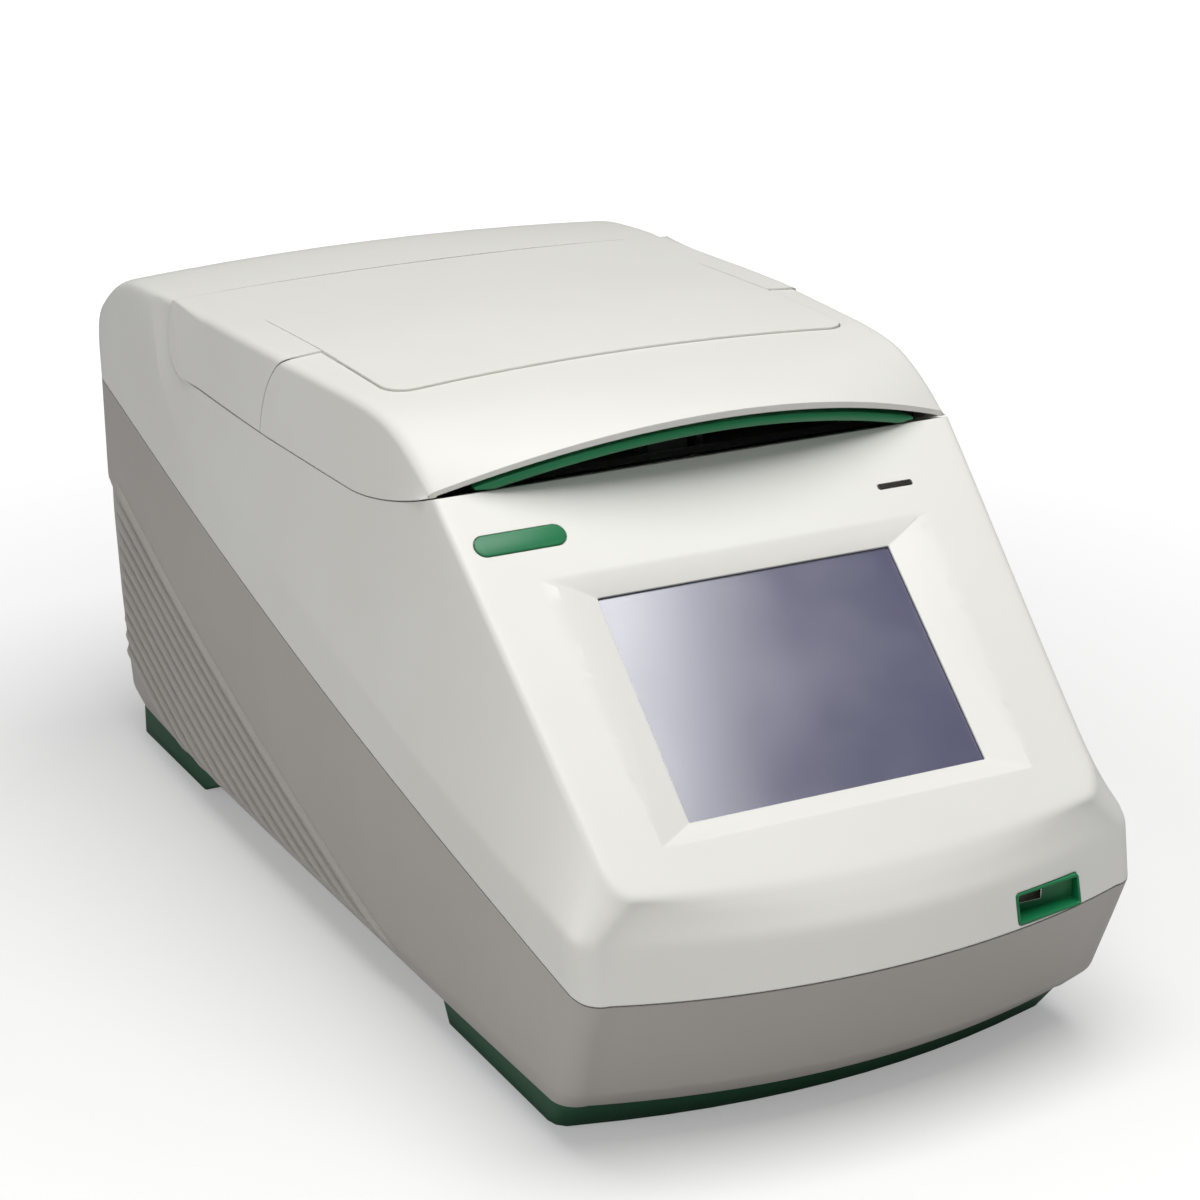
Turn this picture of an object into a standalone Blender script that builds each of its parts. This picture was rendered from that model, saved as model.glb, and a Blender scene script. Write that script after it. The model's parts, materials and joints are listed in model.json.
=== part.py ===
"""Bench-top 96-well thermal cycler, modelled as separate pieces.

Lengths are in millimetres and become metres when a mesh is made. x is across, y runs from
the front (-) to the rear (+) and z is up, with z = 0 on the bench. PLAN_CENTRE is taken off
every y, so that the origin is below the middle of the finished body.
"""
import math

import bmesh
import bpy
from mathutils import Vector

MM = 0.001

# Overall sizes
HALF_WIDTH = 114.5
DEPTH = 467.0
FRONT = -229.5
REAR = FRONT + DEPTH
PLAN_CENTRE = FRONT + DEPTH / 2
DECK_Z = 187.0

# Walls and clearances
WALL = 3.0
FACE_WALL = 6.0
GAP = 0.3
LID_GAP = 0.5
BOOLEAN_MARGIN = 20.0

# Body lines: heights at the front, and how they climb to the rear
BASE_Z = 14.0
CHAMFER_Z = 24.0
PARTING_Z = 62.8
PARTING_SLOPE = 0.218
CREASE_Z = 81.5
CREASE_SLOPE = 0.235
UPTURN_Y = REAR - 86
UPTURN_RADIUS = 34.0
HOOD_Z = DECK_Z + 30.5
HOOD_CROWN = 4.0
HOOD_FALL = [(60.0, 0.0), (131.0, 2.8), (165.0, 4.6), (185.0, 7.0), (205.0, 13.5), (REAR - 14, 25.0)]
SHOULDER = 14.0
CORNER_RADIUS = 9.0

# Sloping face with the screen
FACE_TILT = math.radians(41)
RIDGE_Y = -92.5
RIDGE_Z = DECK_Z + 13.0
SCREEN_WIDTH = 115.2
SCREEN_HEIGHT = 86.4
SCREEN_DROP = 89.0
RECESS_SIDE = 14.0
RECESS_END = 7.6
RECESS_DEPTH = 3.0
SCREEN_LIP = 0.8
GLASS_THICKNESS = 1.1
GLASS_MARGIN = 3.0

# Lid
SEAM_FLAT_Y = -34.0
HINGE_RADIUS = 17.0
HINGE_Y = 121.0
HINGE_Z = DECK_Z + HINGE_RADIUS
PANEL_HALF = 93.0
PANEL_FRONT = -38.0
PANEL_RAISE = 0.8
PANEL_FADE_Y = 84.0
ARM_END_Y = 6.0
ARM_END_RADIUS = 36.0
HINGE_BRACKET_X = 70.0
HINGE_BRACKET_WIDTH = 8.0
HINGE_PIN_RADIUS = 3.0
PIN_CLEARANCE = 0.08

# Sample block and what is stacked under it
BLOCK_Y = 12.0
WELL_PITCH = 9.0
WELL_COLUMNS = 12
WELL_ROWS = 8
WELL_RADIUS = 3.1
WELL_TIP_RADIUS = 1.4
WELL_DEPTH = 15.0
BLOCK_MARGIN = 7.0
BLOCK_HEIGHT = 22.0
BLOCK_SINK = 7.0
COLLAR = 4.0
MODULE_HEIGHT = 3.6
SINK_BASE = 8.0
FIN_HEIGHT = 44.0
FIN_THICKNESS = 2.0
FIN_COUNT = 15
FAN_SIZE = 92.0
FAN_DEPTH = 25.0
FAN_BLADES = 7

# Electronics
BOARD_Y = -120.0
BOARD_WIDTH = 150.0
BOARD_DEPTH = 100.0
BOARD_LIFT = 6.0

# Heated lid plate
PLATE_THICKNESS = 6.0
SPRING_LENGTH = 9.0
SPRING_RADIUS = 4.0
SPRING_WIRE = 0.6
SPRING_TURNS = 4
CARRIER_THICKNESS = 2.5

# Rear panel
STEP_Z = 113.0
STEP_RISE = 12.0
SCREW_HOLE_RADIUS = 2.0
PANEL_INSET = 19.0
REAR_PANEL_HALF = 96.0
REAR_PANEL_BOTTOM = 26.0

GLOSS_WHITE = ((0.80, 0.80, 0.76), 0.38, 0.0)
LIGHT_GREY = ((0.45, 0.43, 0.40), 0.50, 0.0)
GREEN = ((0.010, 0.26, 0.09), 0.40, 0.0)
BLACK = ((0.012, 0.012, 0.013), 0.45, 0.0)
SCREEN_BLUE = ((0.22, 0.24, 0.42), 0.12, 0.0)
METAL = ((0.55, 0.56, 0.57), 0.32, 1.0)
BRIGHT_METAL = ((0.78, 0.78, 0.76), 0.22, 1.0)
BOARD_GREEN = ((0.015, 0.10, 0.05), 0.45, 0.0)
CERAMIC_WHITE = ((0.85, 0.84, 0.80), 0.55, 0.0)
CLEAR_WHITE = ((0.72, 0.76, 0.76), 0.15, 0.0)


# ---------------------------------------------------------------- general tools

def clear_scene():
    for item in list(bpy.data.objects):
        bpy.data.objects.remove(item)


def material(name, look):
    colour, roughness, metallic = look
    made = bpy.data.materials.new(name)
    made.use_nodes = True
    shader = made.node_tree.nodes["Principled BSDF"]
    shader.inputs["Base Color"].default_value = (*colour, 1.0)
    shader.inputs["Roughness"].default_value = roughness
    shader.inputs["Metallic"].default_value = metallic
    return made


def solid(name, points, faces, look, origin=(0.0, PLAN_CENTRE, 0.0)):
    """A mesh object from points in millimetres, with its origin at the given point."""
    mesh = bpy.data.meshes.new(name)
    shift = Vector(origin)
    work = bmesh.new()
    corners = [work.verts.new((Vector(point) - shift) * MM) for point in points]
    for face in faces:
        work.faces.new([corners[index] for index in face])
    bmesh.ops.remove_doubles(work, verts=work.verts, dist=1e-6)
    bmesh.ops.recalc_face_normals(work, faces=work.faces)
    work.to_mesh(mesh)
    work.free()
    item = bpy.data.objects.new(name, mesh)
    item.location = (shift - Vector((0, PLAN_CENTRE, 0))) * MM
    bpy.context.scene.collection.objects.link(item)
    if look is None:
        item.hide_render = True
        item.display_type = "WIRE"
    else:
        mesh.materials.append(material(name, look))
    return item


def smooth(item, degrees=35):
    item.data.shade_smooth()
    item.data.set_sharp_from_angle(angle=math.radians(degrees))
    return item


def boolean(item, other, operation="DIFFERENCE"):
    step = item.modifiers.new(f"{operation.lower()} {other.name}", "BOOLEAN")
    step.operation = operation
    step.object = other
    return item


def loft(name, rings, look, origin=(0.0, PLAN_CENTRE, 0.0)):
    """Joins equal closed rings with quads and closes both ends with one face each."""
    count = len(rings[0])
    points = [point for ring in rings for point in ring]
    faces = ring_sides(len(rings), count)
    faces.append(tuple(range(count)))
    faces.append(tuple(range((len(rings) - 1) * count, len(rings) * count)))
    return solid(name, points, faces, look, origin)


def strip_loft(name, rings, look, origin=(0.0, PLAN_CENTRE, 0.0)):
    """A loft whose ends are closed by strips from one side of the ring to the other."""
    count = len(rings[0])
    points = [point for ring in rings for point in ring]
    faces = ring_sides(len(rings), count)
    for base in (0, (len(rings) - 1) * count):
        for index in range(count // 2):
            face = (index, index + 1, count - 2 - index, count - 1 - index)
            faces.append(tuple(dict.fromkeys(base + corner for corner in face)))
    faces = [face for face in faces if len(face) > 2]
    return solid(name, points, faces, look, origin)


def ring_sides(levels, count):
    faces = []
    for level in range(levels - 1):
        low, high = level * count, (level + 1) * count
        for index in range(count):
            after = (index + 1) % count
            faces.append((low + index, low + after, high + after, high + index))
    return faces


def block(name, low, high, look, origin=None):
    (x0, y0, z0), (x1, y1, z1) = low, high
    rings = [[(x0, y0, z), (x1, y0, z), (x1, y1, z), (x0, y1, z)] for z in (z0, z1)]
    return loft(name, rings, look, origin or (0.0, PLAN_CENTRE, 0.0))


def prism_x(name, outline, x0, x1, look, origin=(0.0, PLAN_CENTRE, 0.0)):
    """A (y, z) outline drawn out along x."""
    return loft(name, [[(x, y, z) for y, z in outline] for x in (x0, x1)], look, origin)


def prism_y(name, outline, y0, y1, look, origin=(0.0, PLAN_CENTRE, 0.0)):
    """An (x, z) outline drawn out along y."""
    return loft(name, [[(x, y, z) for x, z in outline] for y in (y0, y1)], look, origin)


def prism_z(name, outline, z0, z1, look, origin=(0.0, PLAN_CENTRE, 0.0)):
    """An (x, y) outline drawn out along z."""
    return loft(name, [[(x, y, z) for x, y in outline] for z in (z0, z1)], look, origin)


def arc(centre, radius, start, end, steps):
    """Points of an arc in a plane, with angles in degrees."""
    points = []
    for step in range(steps + 1):
        angle = math.radians(start + (end - start) * step / steps)
        points.append((centre[0] + radius * math.cos(angle), centre[1] + radius * math.sin(angle)))
    return points


def circle(centre, radius, steps):
    return arc(centre, radius, 0, 360, steps)[:-1]


def rounded(centre, width, height, radius, steps=4):
    """A rectangle with round corners."""
    x, y = width / 2 - radius, height / 2 - radius
    points = []
    for turn, (sx, sy) in enumerate([(1, 1), (-1, 1), (-1, -1), (1, -1)]):
        corner = (centre[0] + sx * x, centre[1] + sy * y)
        points += arc(corner, radius, 90 * turn, 90 * turn + 90, steps)
    return points


def blend(points, at):
    """A smooth curve through (position, value) pairs, read at one position."""
    if at <= points[0][0]:
        return points[0][1]
    if at >= points[-1][0]:
        return points[-1][1]
    slopes = []
    for index in range(len(points)):
        before, after = points[max(index - 1, 0)], points[min(index + 1, len(points) - 1)]
        slopes.append((after[1] - before[1]) / (after[0] - before[0]))
    for (start, end), (rise, fall) in zip(zip(points, points[1:]), zip(slopes, slopes[1:])):
        if at <= end[0]:
            span = end[0] - start[0]
            part = (at - start[0]) / span
            keep = (1 + 2 * part) * (1 - part) ** 2
            bend = part * (1 - part) ** 2 * rise - part**2 * (1 - part) * fall
            return start[1] * keep + end[1] * (1 - keep) + span * bend
    return points[-1][1]


# ---------------------------------------------------------------- body lines

def parting_z(y):
    """The line between the two shells: level round the front, then climbing."""
    climb = PARTING_SLOPE * (y - FRONT - 15.0)
    return PARTING_Z + (climb + math.hypot(climb, 3.0)) / 2


def crease_z(y):
    """The lower edge of the inset side, which turns up ahead of the rear corner."""
    line = CREASE_Z + CREASE_SLOPE * (y - FRONT - 8.0)
    near = min(max((y - UPTURN_Y + UPTURN_RADIUS) / UPTURN_RADIUS, 0.0), 1.0)
    top = hood_z(top_half(y), y) - SHOULDER
    return line + (top - line) * (1 - math.sqrt(1 - near**2))


def hood_z(x, y):
    """The hood's top: crowned across, level over the lid and falling away to the rear."""
    crown = HOOD_CROWN * max(1 - (x / top_half(y)) ** 2, 0.0)
    return HOOD_Z - blend(HOOD_FALL, y) + crown


def face_z(y):
    return RIDGE_Z + math.tan(FACE_TILT) * (y - RIDGE_Y)


def seam_z(y):
    """The joint below the lid: level, then climbing to the ends of the lip."""
    reach = max((SEAM_FLAT_Y - y) / (SEAM_FLAT_Y - RIDGE_Y), 0.0)
    return DECK_Z + (RIDGE_Z - DECK_Z) * reach**1.6


def crease_half(y):
    return HALF_WIDTH + blend([(FRONT + 20, -6.5), (-120, -1.5), (-10, 0), (100, -1), (REAR - 4, -5)], y)


def top_half(y):
    return HALF_WIDTH + blend([(FRONT + 18, -20.5), (-162, -16.9), (-91, -12), (-50, -10.3),
                               (0, -7.5), (41, -5.3), (116, -5.2), (REAR - 4, -8)], y)


def side_x(y, z):
    """Half width of the leaning side between the lower crease and the top edge."""
    low, high = crease_z(y), hood_z(top_half(y), y)
    part = min(max((z - low) / max(high - low, 1.0), 0.0), 1.0)
    return crease_half(y) + (top_half(y) - crease_half(y)) * part


SIDE_STOPS = [0, .03, .07, .10, .118, .13, .142, .156, .175, .20, .235, .29, .36, .43,
              .50, .57, .64, .71, .78, .85, .92, 1]


def outline(front, front_corner, rear, rear_corner, half, inset=0.0):
    """Half of a plan outline, from the rear centre round to the front centre.

    half gives the half width at any y; the front and the rear are bowed.
    """
    radius = CORNER_RADIUS
    front, front_corner = front + inset, front_corner + inset
    rear, rear_corner = rear - inset, rear_corner - inset
    rear_half, front_half = half(rear_corner) - inset, half(front_corner) - inset
    points = []
    for step in range(4):
        part = step / 4
        points.append((part * (rear_half - radius), rear + (rear_corner - rear) * part**2))
    corner = (rear_half - radius, rear_corner - radius)
    points += [(x, y) for x, y in arc(corner, radius, 90, 0, 4)][:-1]
    high, low = rear_corner - radius, front_corner + radius
    for stop in SIDE_STOPS:
        y = high + (low - high) * stop
        points.append((half(y) - inset, y))
    corner = (front_half - radius, front_corner + radius)
    points += arc(corner, radius, 0, -90, 4)[1:]
    for step in range(1, 7):
        part = 1 - step / 6
        bow = front + (front_corner - front) * part**2
        points.append((part * (front_half - radius), bow))
    return points


def both_sides(half_ring):
    """Closes a half ring with its mirror image."""
    mirrored = [(-x, y, z) for x, y, z in half_ring[-2:0:-1]]
    return half_ring + mirrored


def body_loft(name, half_rings, look, top=None):
    """A body from half rings, closed above and below by strips running across.

    top gives the height of the upper surface at (x, y), where that surface isn't flat across.
    """
    rings = [both_sides(ring) for ring in half_rings]
    count = len(rings[0])
    points = [point for ring in rings for point in ring]
    faces = ring_sides(len(rings), count)
    for base, surface in ((0, None), ((len(rings) - 1) * count, top)):
        rows = []
        for index in range(count // 2 + 1):
            row = [base + index]
            x, y, _ = points[base + index]
            if surface and 0 < index < count // 2:
                for share in (0.5, 0.0, -0.5):
                    row.append(len(points))
                    points.append((x * share, y, surface(x * share, y)))
            rows.append(row + [base + (-index) % count])
        for before, after in zip(rows, rows[1:]):
            faces += strip_faces(before, after)
    return solid(name, points, faces, look)


def strip_faces(before, after):
    """Faces between two rows of points, either of which may be a single point."""
    if len(set(before)) == 1 or len(set(after)) == 1:
        single, row = (before, after) if len(set(before)) == 1 else (after, before)
        if len(row) == 2:
            return [tuple(dict.fromkeys((single[0], *row)))]
        return [(single[0], *pair) for pair in zip(row, row[1:])]
    return [(a, b, d, c) for (a, b), (c, d) in zip(zip(before, before[1:]), zip(after, after[1:]))]


def parting_half(y):
    offsets = [(FRONT + 16, -7), (-100, -2.5), (-10, -0.7), (100, -1.5), (REAR - 4, -5.5)]
    return HALF_WIDTH + blend(offsets, y)


def foot_half(y):
    return HALF_WIDTH + blend([(FRONT + 32, -8.5), (-75, -6.5), (120, -5.5), (REAR - 19, -8.5)], y)


def base_half(y):
    return foot_half(y) - 4.0


def upper_rings(inset, drop, extra_low=0.0):
    """Rings of the upper shell: parting line, lower crease, mid side and top edge."""
    rows = []
    plans = [
        outline(FRONT, FRONT + 16, REAR, REAR - 3.5, parting_half, inset),
        outline(FRONT + 5, FRONT + 20, REAR, REAR - 3.5, crease_half, inset),
        outline(FRONT + 10, FRONT + 20, REAR - 3, REAR - 6.5, mid_half, inset),
        outline(FRONT + 14.5, FRONT + 19.5, REAR - 14, REAR - 17.5, top_half, inset),
    ]
    for index, plan in enumerate(plans):
        row = []
        for x, y in plan:
            top = upper_top(x, y, inset, drop)
            low = parting_z(y)
            crease = min(crease_z(y), top - (SHOULDER if face_z(y) > HOOD_Z else 4.0))
            middle = top - 0.22 * (top - crease)
            row.append((x, y, (low + GAP / 2 - extra_low, crease, middle, top)[index]))
        rows.append(row)
    return rows


def upper_top(x, y, inset, drop):
    """The upper shell's surface: the sloping face, then the hood."""
    return min(face_z(y) - drop, hood_z(x, y) - inset)


def mid_half(y):
    rear_bulge = blend([(UPTURN_Y - 10, 0.22), (UPTURN_Y + 8, 0.80)], y)
    return top_half(y) + (crease_half(y) - top_half(y)) * rear_bulge


def lower_rings(inset, raise_z, extra_high=0.0):
    rows = []
    plans = [
        outline(FRONT + 26.5, FRONT + 42.5, REAR - 17, REAR - 19, base_half, inset),
        outline(FRONT + 16.5, FRONT + 32.5, REAR - 13, REAR - 15, foot_half, inset),
        outline(FRONT + 7, FRONT + 23, REAR - 2, REAR - 5.5, parting_half, inset),
        outline(FRONT, FRONT + 16, REAR, REAR - 3.5, parting_half, inset),
    ]
    for index, plan in enumerate(plans):
        row = []
        for x, y in plan:
            top = parting_z(y) - GAP / 2
            middle = CHAMFER_Z + 0.6 * (top - CHAMFER_Z)
            row.append((x, y, (BASE_Z + raise_z, CHAMFER_Z + raise_z / 2, middle, top + extra_high)[index]))
        rows.append(row)
    return rows


# ---------------------------------------------------------------- cutters shared by shells

def lid_space(name, grow):
    """Everything the closed lid occupies, drawn across the body."""
    low = -LID_GAP / 2 - grow
    radius = HINGE_RADIUS + LID_GAP + grow
    top = HOOD_Z + 60
    first = RIDGE_Y - 8
    outline_yz = [(first - 20, top)]
    for step in range(9):
        y = first + (SEAM_FLAT_Y - first) * step / 8
        outline_yz.append((y, seam_z(y) + low))
    turn = math.degrees(math.asin((HOOD_Z + 3 - HINGE_Z) / radius))
    outline_yz += arc((HINGE_Y, HINGE_Z), radius, -90, turn, 12)
    outline_yz.append((outline_yz[-1][0], top))
    return prism_x(name, outline_yz, -HALF_WIDTH - BOOLEAN_MARGIN, HALF_WIDTH + BOOLEAN_MARGIN, None)


def rear_step(name, grow):
    """The undercut below the rear overhang."""
    wall = REAR - PANEL_INSET - grow
    slope = [(wall, STEP_Z + grow), (REAR + BOOLEAN_MARGIN, STEP_Z + STEP_RISE * 2 + grow)]
    outline_yz = [(wall, -BOOLEAN_MARGIN), *slope, (REAR + BOOLEAN_MARGIN, -BOOLEAN_MARGIN)]
    return prism_x(name, outline_yz, -HALF_WIDTH - BOOLEAN_MARGIN, HALF_WIDTH + BOOLEAN_MARGIN, None)


def on_face(u, v, n):
    """A point of the sloping face: u across, v up the slope from the screen's centre, n out."""
    along = v - SCREEN_DROP
    y = RIDGE_Y + along * math.cos(FACE_TILT) - n * math.sin(FACE_TILT)
    z = RIDGE_Z + along * math.sin(FACE_TILT) + n * math.cos(FACE_TILT)
    return (u, y, z)


def face_plate(name, centre, width, height, radius, n0, n1, look):
    """A rounded plate lying parallel to the sloping face."""
    flat = rounded(centre, width, height, radius)
    return loft(name, [[on_face(u, v, n) for u, v in flat] for n in (n0, n1)], look)


# ---------------------------------------------------------------- the shells

def make_lower_shell():
    shell = body_loft("lower_shell", lower_rings(0, 0), LIGHT_GREY)
    boolean(shell, rear_step("cut_rear_step", 0))
    hollow = body_loft("cut_lower_hollow", lower_rings(WALL, WALL, BOOLEAN_MARGIN), None)
    boolean(hollow, rear_step("cut_rear_step_inner", WALL))
    boolean(shell, hollow)
    boolean(shell, rear_opening())
    for index, (x, y) in enumerate(base_screw_places()):
        hole = prism_z(f"cut_base_hole_{index}", circle((x, y), SCREW_HOLE_RADIUS, 12),
                       BASE_Z - 5, BASE_Z + WALL + 5, None)
        boolean(shell, hole)
    return smooth(shell)


def rear_opening():
    y = REAR - PANEL_INSET
    return block("cut_rear_opening", (-REAR_PANEL_HALF, y - WALL - 8, REAR_PANEL_BOTTOM),
                 (REAR_PANEL_HALF, y + 8, STEP_Z - 4), None)


def make_upper_shell():
    shell = body_loft("upper_shell", upper_rings(0, 0), GLOSS_WHITE, lambda x, y: upper_top(x, y, 0, 0))
    boolean(shell, lid_space("cut_lid_space", 0))
    face_drop = FACE_WALL / math.cos(FACE_TILT)
    hollow = body_loft("cut_upper_hollow", upper_rings(WALL, face_drop, BOOLEAN_MARGIN), None,
                       lambda x, y: upper_top(x, y, WALL, face_drop))
    boolean(hollow, lid_space("cut_lid_space_inner", WALL))
    boolean(shell, hollow)
    boolean(shell, block_pocket())
    boolean(shell, screen_recess())
    boolean(shell, screen_opening())
    boolean(shell, glass_pocket())
    boolean(shell, usb_opening())
    boolean(shell, badge_pocket())
    boolean(shell, status_slot())
    boolean(shell, latch_slot())
    for side in (-1, 1):
        boolean(shell, bracket_slot(side))
    return smooth(shell)


def block_width():
    return WELL_PITCH * (WELL_COLUMNS - 1) + 2 * BLOCK_MARGIN


def block_depth():
    return WELL_PITCH * (WELL_ROWS - 1) + 2 * BLOCK_MARGIN


def block_pocket():
    outer = rounded((0, BLOCK_Y), block_width() + 2 * COLLAR, block_depth() + 2 * COLLAR, 4.0)
    return prism_z("cut_block_pocket", outer, DECK_Z - WALL - 10, DECK_Z + 10, None)


def screen_recess():
    """A picture-frame slope from the face down to the edge of the screen."""
    rings = []
    for share in (0.0, 1.0, 1.5):
        width = SCREEN_WIDTH + 2 * RECESS_SIDE * share
        height = SCREEN_HEIGHT + 2 * RECESS_END * share
        n = RECESS_DEPTH * (share - 1)
        rings.append([on_face(u, v, n) for u, v in rounded((0, 0), width, height, 0.6, 1)])
    return loft("cut_screen_recess", rings, None)


def glass_size():
    return SCREEN_WIDTH + 2 * GLASS_MARGIN, SCREEN_HEIGHT + 2 * GLASS_MARGIN


def screen_opening():
    return face_plate("cut_screen_opening", (0, 0), SCREEN_WIDTH, SCREEN_HEIGHT, 0.6,
                      -FACE_WALL - 5, 5.0, None)


def glass_pocket():
    width, height = glass_size()
    return face_plate("cut_glass_pocket", (0, 0), width + 2 * GAP, height + 2 * GAP, 2.0,
                      -FACE_WALL - 15, -RECESS_DEPTH - SCREEN_LIP, None)


USB_X = 64.5
USB_Z = PARTING_Z + 7.2
USB_WIDTH = 29.0
USB_HEIGHT = 11.0
USB_DEPTH = 20.0
USB_RECESS = 7.0
LINER_WALL = 0.9
LIP_LEAN = 0.27


def lip_y(x):
    """Front of the lip above the parting line, at the height of the socket."""
    return FRONT + 2.0 + 15.5 * (x / HALF_WIDTH) ** 2


def usb_opening():
    front = lip_y(USB_X)
    outer = rounded((USB_X, USB_Z), USB_WIDTH, USB_HEIGHT, 1.5)
    return prism_y("cut_usb", outer, front - 15, front + USB_DEPTH, None)


BADGE_X = -78.0
BADGE_V = 68.0
BADGE_WIDTH = 34.0
BADGE_HEIGHT = 8.0
BADGE_DEPTH = 1.0
STATUS_X = 68.8
STATUS_V = 65.0
STATUS_WIDTH = 13.8
STATUS_HEIGHT = 1.8


def badge_pocket():
    return face_plate("cut_badge", (BADGE_X, BADGE_V), BADGE_WIDTH + 2 * GAP, BADGE_HEIGHT + 2 * GAP,
                      BADGE_HEIGHT / 2, -BADGE_DEPTH, 5.0, None)


def status_slot():
    return face_plate("cut_status", (STATUS_X, STATUS_V), STATUS_WIDTH + 2 * GAP, STATUS_HEIGHT + 2 * GAP,
                      STATUS_HEIGHT / 2, -FACE_WALL - 8, 5.0, None)


HOOK_Y = -66.0
HOOK_WIDTH = 16.0
HOOK_THICKNESS = 4.0
HOOK_NOSE = 4.0
HOOK_PIVOT_Z = DECK_Z + 20.0
SLOT_LENGTH = 17.0


def latch_slot():
    low = (-HOOK_WIDTH / 2 - 2, HOOK_Y - SLOT_LENGTH / 2, DECK_Z - WALL - 12)
    high = (HOOK_WIDTH / 2 + 2, HOOK_Y + SLOT_LENGTH / 2, DECK_Z + 15)
    return block("cut_latch_slot", low, high, None)


def bracket_slot(side):
    x = side * HINGE_BRACKET_X
    half = HINGE_BRACKET_WIDTH / 2 + GAP
    name = f"cut_bracket_slot_{'right' if side > 0 else 'left'}"
    return block(name, (x - half, HINGE_Y - 8.5 - GAP, DECK_Z - WALL - 12),
                 (x + half, HINGE_Y + 8.5 + GAP, DECK_Z + 6), None)


# ---------------------------------------------------------------- feet and base

def base_screw_places():
    return [(side * 60.0, y) for side in (-1, 1) for y in (-120.0, REAR - 60.0)]


def make_feet():
    top = BASE_Z - GAP
    back = FRONT + 141.0
    outer_low = foot_ring(FRONT + 41, FRONT + 54.5, back, HALF_WIDTH - 16.0, 0.0)
    outer_high = foot_ring(FRONT + 32, FRONT + 44.5, back, HALF_WIDTH - 13.0, top)
    foot = loft("front_foot", [outer_low, outer_high], GREEN)
    inner = rounded((0, (back + FRONT + 62) / 2 + 30), 2 * (HALF_WIDTH - 30), back - FRONT - 62 + 60, 6.0)
    boolean(foot, prism_z("cut_front_foot", inner, -5, BASE_Z + 5, None))
    smooth(foot)
    for side, name in ((-1, "rear_foot_left"), (1, "rear_foot_right")):
        start, end = REAR - 90.5, REAR - 20.0
        outline_yz = [(start, 0), (end, 0), (end, top), (start - 28, top)]
        inner_x, outer_x = HALF_WIDTH - 32, HALF_WIDTH - 13.5
        prism_x(name, outline_yz, side * inner_x, side * outer_x, GREEN)


def foot_ring(centre_y, corner_y, back, half, z):
    points = [(half, back), (half, corner_y + 8)]
    points += arc((half - 8, corner_y + 8), 8, 0, -90, 3)[1:]
    for step in range(1, 6):
        part = 1 - step / 6
        points.append((part * (half - 8), centre_y + (corner_y - centre_y) * part**2))
    right = [(x, y, z) for x, y in points]
    return right + [(0, centre_y, z)] + [(-x, y, z) for x, y, z in reversed(right)]


CHASSIS_Z = BASE_Z + WALL + GAP
CHASSIS_THICKNESS = 1.5
CHASSIS_HALF = 92.0


def make_chassis():
    front, rear = FRONT + 52, REAR - PANEL_INSET - WALL - 6
    plate = prism_z("chassis_plate", rounded((0, (front + rear) / 2), 2 * CHASSIS_HALF, rear - front, 4.0),
                    CHASSIS_Z, CHASSIS_Z + CHASSIS_THICKNESS, METAL)
    for index, (x, y) in enumerate(base_screw_places()):
        hole = prism_z(f"cut_chassis_hole_{index}", circle((x, y), 2.0, 12), BASE_Z, CHASSIS_Z + 5, None)
        boolean(plate, hole)
        screw(f"base_screw_{index + 1}", Vector((x, y, BASE_Z - GAP)), Vector((0, 0, -1)),
              CHASSIS_Z + CHASSIS_THICKNESS - BASE_Z + GAP)
    top = CHASSIS_Z + CHASSIS_THICKNESS + BOARD_LIFT - GAP
    for index, (x, y) in enumerate(board_post_places()):
        post = prism_z(f"cut_board_post_{index}", circle((x, y), 3.0, 10), CHASSIS_Z + 0.5, top, None)
        boolean(plate, post, "UNION")


def screw(name, seat, outward, length):
    """A round-headed screw whose head sits on the seat and points outward."""
    turn = outward.to_track_quat("Z", "Y").to_matrix()
    profile = [(1.7, -length), (1.7, 0.0), (3.4, 0.0), (3.4, 1.2), (1.6, 1.2), (1.6, 0.6)]
    rings = []
    for radius, height in profile:
        rings.append([turn @ Vector((x, y, height)) + seat for x, y in circle((0, 0), radius, 10)])
    return smooth(loft(name, rings, METAL, tuple(seat)))


# ---------------------------------------------------------------- rear panel

INLET_X = -66.0
INLET_Z = 52.0
SWITCH_X = -66.0
SWITCH_Z = 84.0
SOCKET_X = -30.0
PANEL_THICKNESS = 2.0


def make_rear_panel():
    outer_y = REAR - PANEL_INSET - 0.6
    inner_y = outer_y - PANEL_THICKNESS
    half, low, high = REAR_PANEL_HALF - GAP, REAR_PANEL_BOTTOM + GAP, STEP_Z - 4 - GAP
    panel = block("rear_panel", (-half, inner_y, low), (half, outer_y, high), METAL)
    through = (inner_y - 5, outer_y + 5)
    openings = {
        "inlet": (INLET_X, INLET_Z, 28.0, 36.0),
        "switch": (SWITCH_X, SWITCH_Z, 21.0, 15.0),
        "socket": (SOCKET_X, INLET_Z, 12.4, 11.4),
    }
    for name, (x, z, width, height) in openings.items():
        hole = rounded((x, z), width + 2 * GAP, height + 2 * GAP, 1.0, 2)
        boolean(panel, prism_y(f"cut_panel_{name}", hole, *through, None))
    boolean(panel, vent_slots(through))
    for index, (sx, z) in enumerate([(-1, low + 6), (1, low + 6), (-1, high - 6), (1, high - 6)]):
        x = sx * (half - 6)
        hole = prism_y(f"cut_panel_screw_{index}", circle((x, z), SCREW_HOLE_RADIUS, 12), *through, None)
        boolean(panel, hole)
        screw(f"rear_screw_{index + 1}", Vector((x, outer_y + GAP, z)), Vector((0, 1, 0)), 5.0)
    make_power_inlet(inner_y, outer_y)
    make_power_switch(inner_y, outer_y)
    make_usb_b(outer_y)


VENT_COUNT = 14
VENT_PITCH = 6.0
VENT_WIDTH = 3.2
VENT_LEFT = -8.0
VENT_LENGTH = 60.0


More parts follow.
